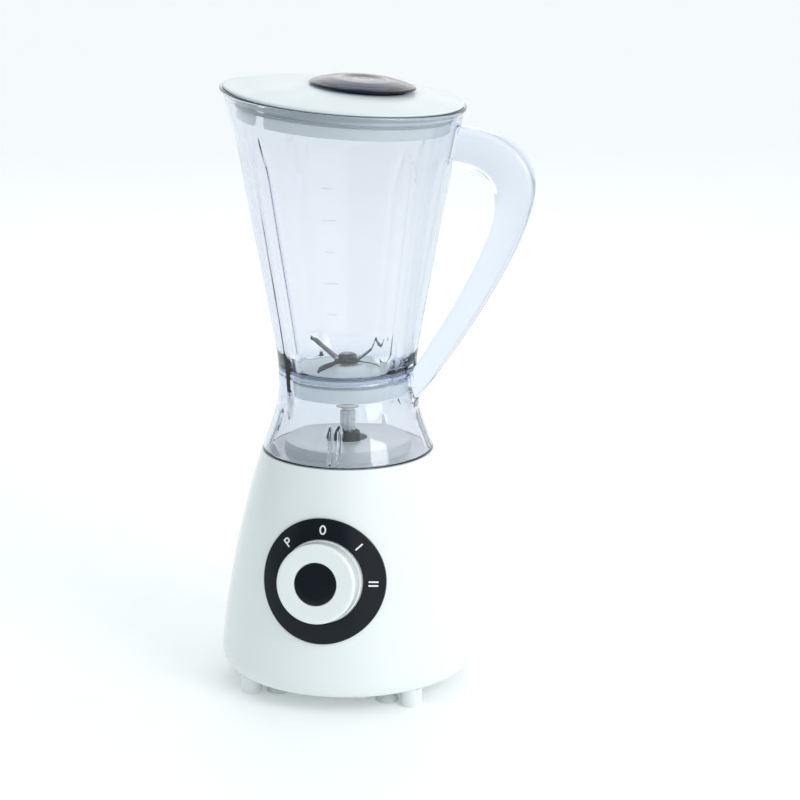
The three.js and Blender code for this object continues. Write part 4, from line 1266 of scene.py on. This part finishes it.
# ---- carried pieces
class PART_OT_carried(bpy.types.Operator):
    """Finishes of the pieces whose shape comes from the frame as it is"""
    bl_idname = "part.carried"
    bl_label = "Carried pieces"

    def execute(self, context):
        for maker, names in CARRIED.items():
            material = maker()
            for name in names:
                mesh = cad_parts[name].data
                mesh.materials.clear()
                mesh.materials.append(material)
        return {"FINISHED"}


# ---- stage
class PART_OT_stage(bpy.types.Operator):
    """Pale round floor, soft surroundings, two large lights and the camera"""
    bl_idname = "part.stage"
    bl_label = "Stage"

    def execute(self, context):
        stage = sizes("part_stage")
        scene = context.scene
        r = np.concatenate([[0.0], np.geomspace(200, stage.floor_r, 24)])
        ground, sheet = -AXIS[2] / MM, 20.0
        disc = np.stack([np.append(r, 0), np.append(0 * r, -sheet) + ground], -1)
        floor_finish = painted_glow(moulded("floor_sheet", tint("floor"), 0.6, grain_scale=300.0,
                                           mottle=0.01), (1, 1, 1, 1), stage.glow)
        vertices, faces = turned(disc, circle(96))
        mesh = bpy.data.meshes.new("floor_disc")
        mesh.from_pydata((vertices * MM + AXIS).tolist(), [], faces.tolist())
        mesh.materials.append(floor_finish)
        floor = bpy.data.objects.new("floor_disc", mesh)
        scene.collection.objects.link(floor)
        self.surroundings(scene, stage)
        centre = Vector(AXIS) + Vector((0, 0, stage.aim * MM))
        for name, place, side, power in (
                ("key_light", (1.25, -0.75, 1.0), 0.7, stage.key),
                ("back_light", (-0.4, 1.3, 1.1), 1.1, stage.key * 0.3)):
            lamp = bpy.data.lights.new(name, "AREA")
            lamp.shape = "SQUARE"
            lamp.size = side
            lamp.energy = power
            stand = bpy.data.objects.new(name, lamp)
            stand.matrix_world = facing(Vector(place), centre)
            scene.collection.objects.link(stand)
        camera = bpy.data.objects.new("camera", bpy.data.cameras.new("camera"))
        camera.data.lens = stage.focal
        camera.data.sensor_width = 36.0
        camera.location = AXIS + np.array(stage.place)
        camera.rotation_euler = (stage.tilt, 0, stage.azimuth)
        scene.collection.objects.link(camera)
        scene.camera = camera
        scene.view_settings.view_transform = "Standard"
        return {"FINISHED"}

    def surroundings(self, scene, stage):
        """A white world, darker on the left, behind the camera and overhead."""
        world = bpy.data.worlds.new("soft_surroundings")
        world.use_nodes = True
        scene.world = world
        tree = world.node_tree
        place = tree.nodes.new("ShaderNodeTexCoord")
        value = None
        for direction, low, high, level in (
                ((-0.85, -0.5, 0.0), -0.1, 0.85, stage.shade),
                ((0.0, 0.0, 1.0), 0.35, 0.9, stage.zenith),
                ((-0.25, -0.97, 0.0), 0.82, 0.93, stage.front)):
            toward = tree.nodes.new("ShaderNodeVectorMath")
            toward.operation = "DOT_PRODUCT"
            toward.inputs[1].default_value = Vector(direction).normalized()
            tree.links.new(place.outputs["Generated"], toward.inputs[0])
            ranged = fed(tree, "MapRange", toward.outputs["Value"], "Value", From_Min=low,
                         From_Max=high)
            ranged.interpolation_type = "SMOOTHSTEP"
            mix = tree.nodes.new("ShaderNodeMix")
            mix.data_type = "RGBA"
            mix.inputs["A"].default_value = (stage.sky, stage.sky, stage.sky, 1)
            mix.inputs["B"].default_value = (level * 0.9, level * 0.98, level, 1)
            if value:
                tree.links.new(value, mix.inputs["A"])
            tree.links.new(ranged.outputs["Result"], mix.inputs["Factor"])
            value = mix.outputs["Result"]
        tree.links.new(value, tree.nodes["Background"].inputs["Color"])


def facing(place, target):
    """The placing of a lamp at a point, looking at the target."""
    turn = (target - place).to_track_quat("-Z", "Y").to_matrix().to_4x4()
    return Matrix.Translation(place) @ turn


OPERATORS = (PART_OT_stage, PART_OT_base_housing, PART_OT_feet, PART_OT_cover_screws,
             PART_OT_cord_gland, PART_OT_dial_ring, PART_OT_knob, PART_OT_drive, PART_OT_jug_wall,
             PART_OT_jug_scale, PART_OT_jug_grip, PART_OT_blade_carrier, PART_OT_blades,
             PART_OT_lid, PART_OT_measuring_cap, PART_OT_carried)


class PART_PT_pieces(bpy.types.Panel):
    """Lists the blender's sizes and its pieces"""
    bl_idname = "PART_PT_pieces"
    bl_label = "Countertop blender"
    bl_space_type = "VIEW_3D"
    bl_region_type = "UI"
    bl_category = "Countertop blender"

    def draw(self, context):
        for operator in OPERATORS:
            self.layout.operator(operator.bl_idname)
        for name in GROUPS:
            group = getattr(context.scene, name)
            box = self.layout.box()
            for key in type(group).__annotations__:
                box.prop(group, key)


def register():
    """Registers the classes and adds their sizes to the scene."""
    for group in GROUPS.values():
        bpy.utils.register_class(group)
    for name, group in GROUPS.items():
        setattr(bpy.types.Scene, name, PointerProperty(type=group))
    for item in (*OPERATORS, PART_PT_pieces):
        bpy.utils.register_class(item)


def unregister():
    """Takes away what register has added."""
    for item in (PART_PT_pieces, *reversed(OPERATORS)):
        bpy.utils.unregister_class(item)
    for name in GROUPS:
        delattr(bpy.types.Scene, name)
    for group in reversed(GROUPS.values()):
        bpy.utils.unregister_class(group)


def main():
    """Registers the classes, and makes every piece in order."""
    register()
    for operator in OPERATORS:
        group, name = operator.bl_idname.split(".")
        getattr(getattr(bpy.ops, group), name)()


if __name__ == "__main__":
    main()
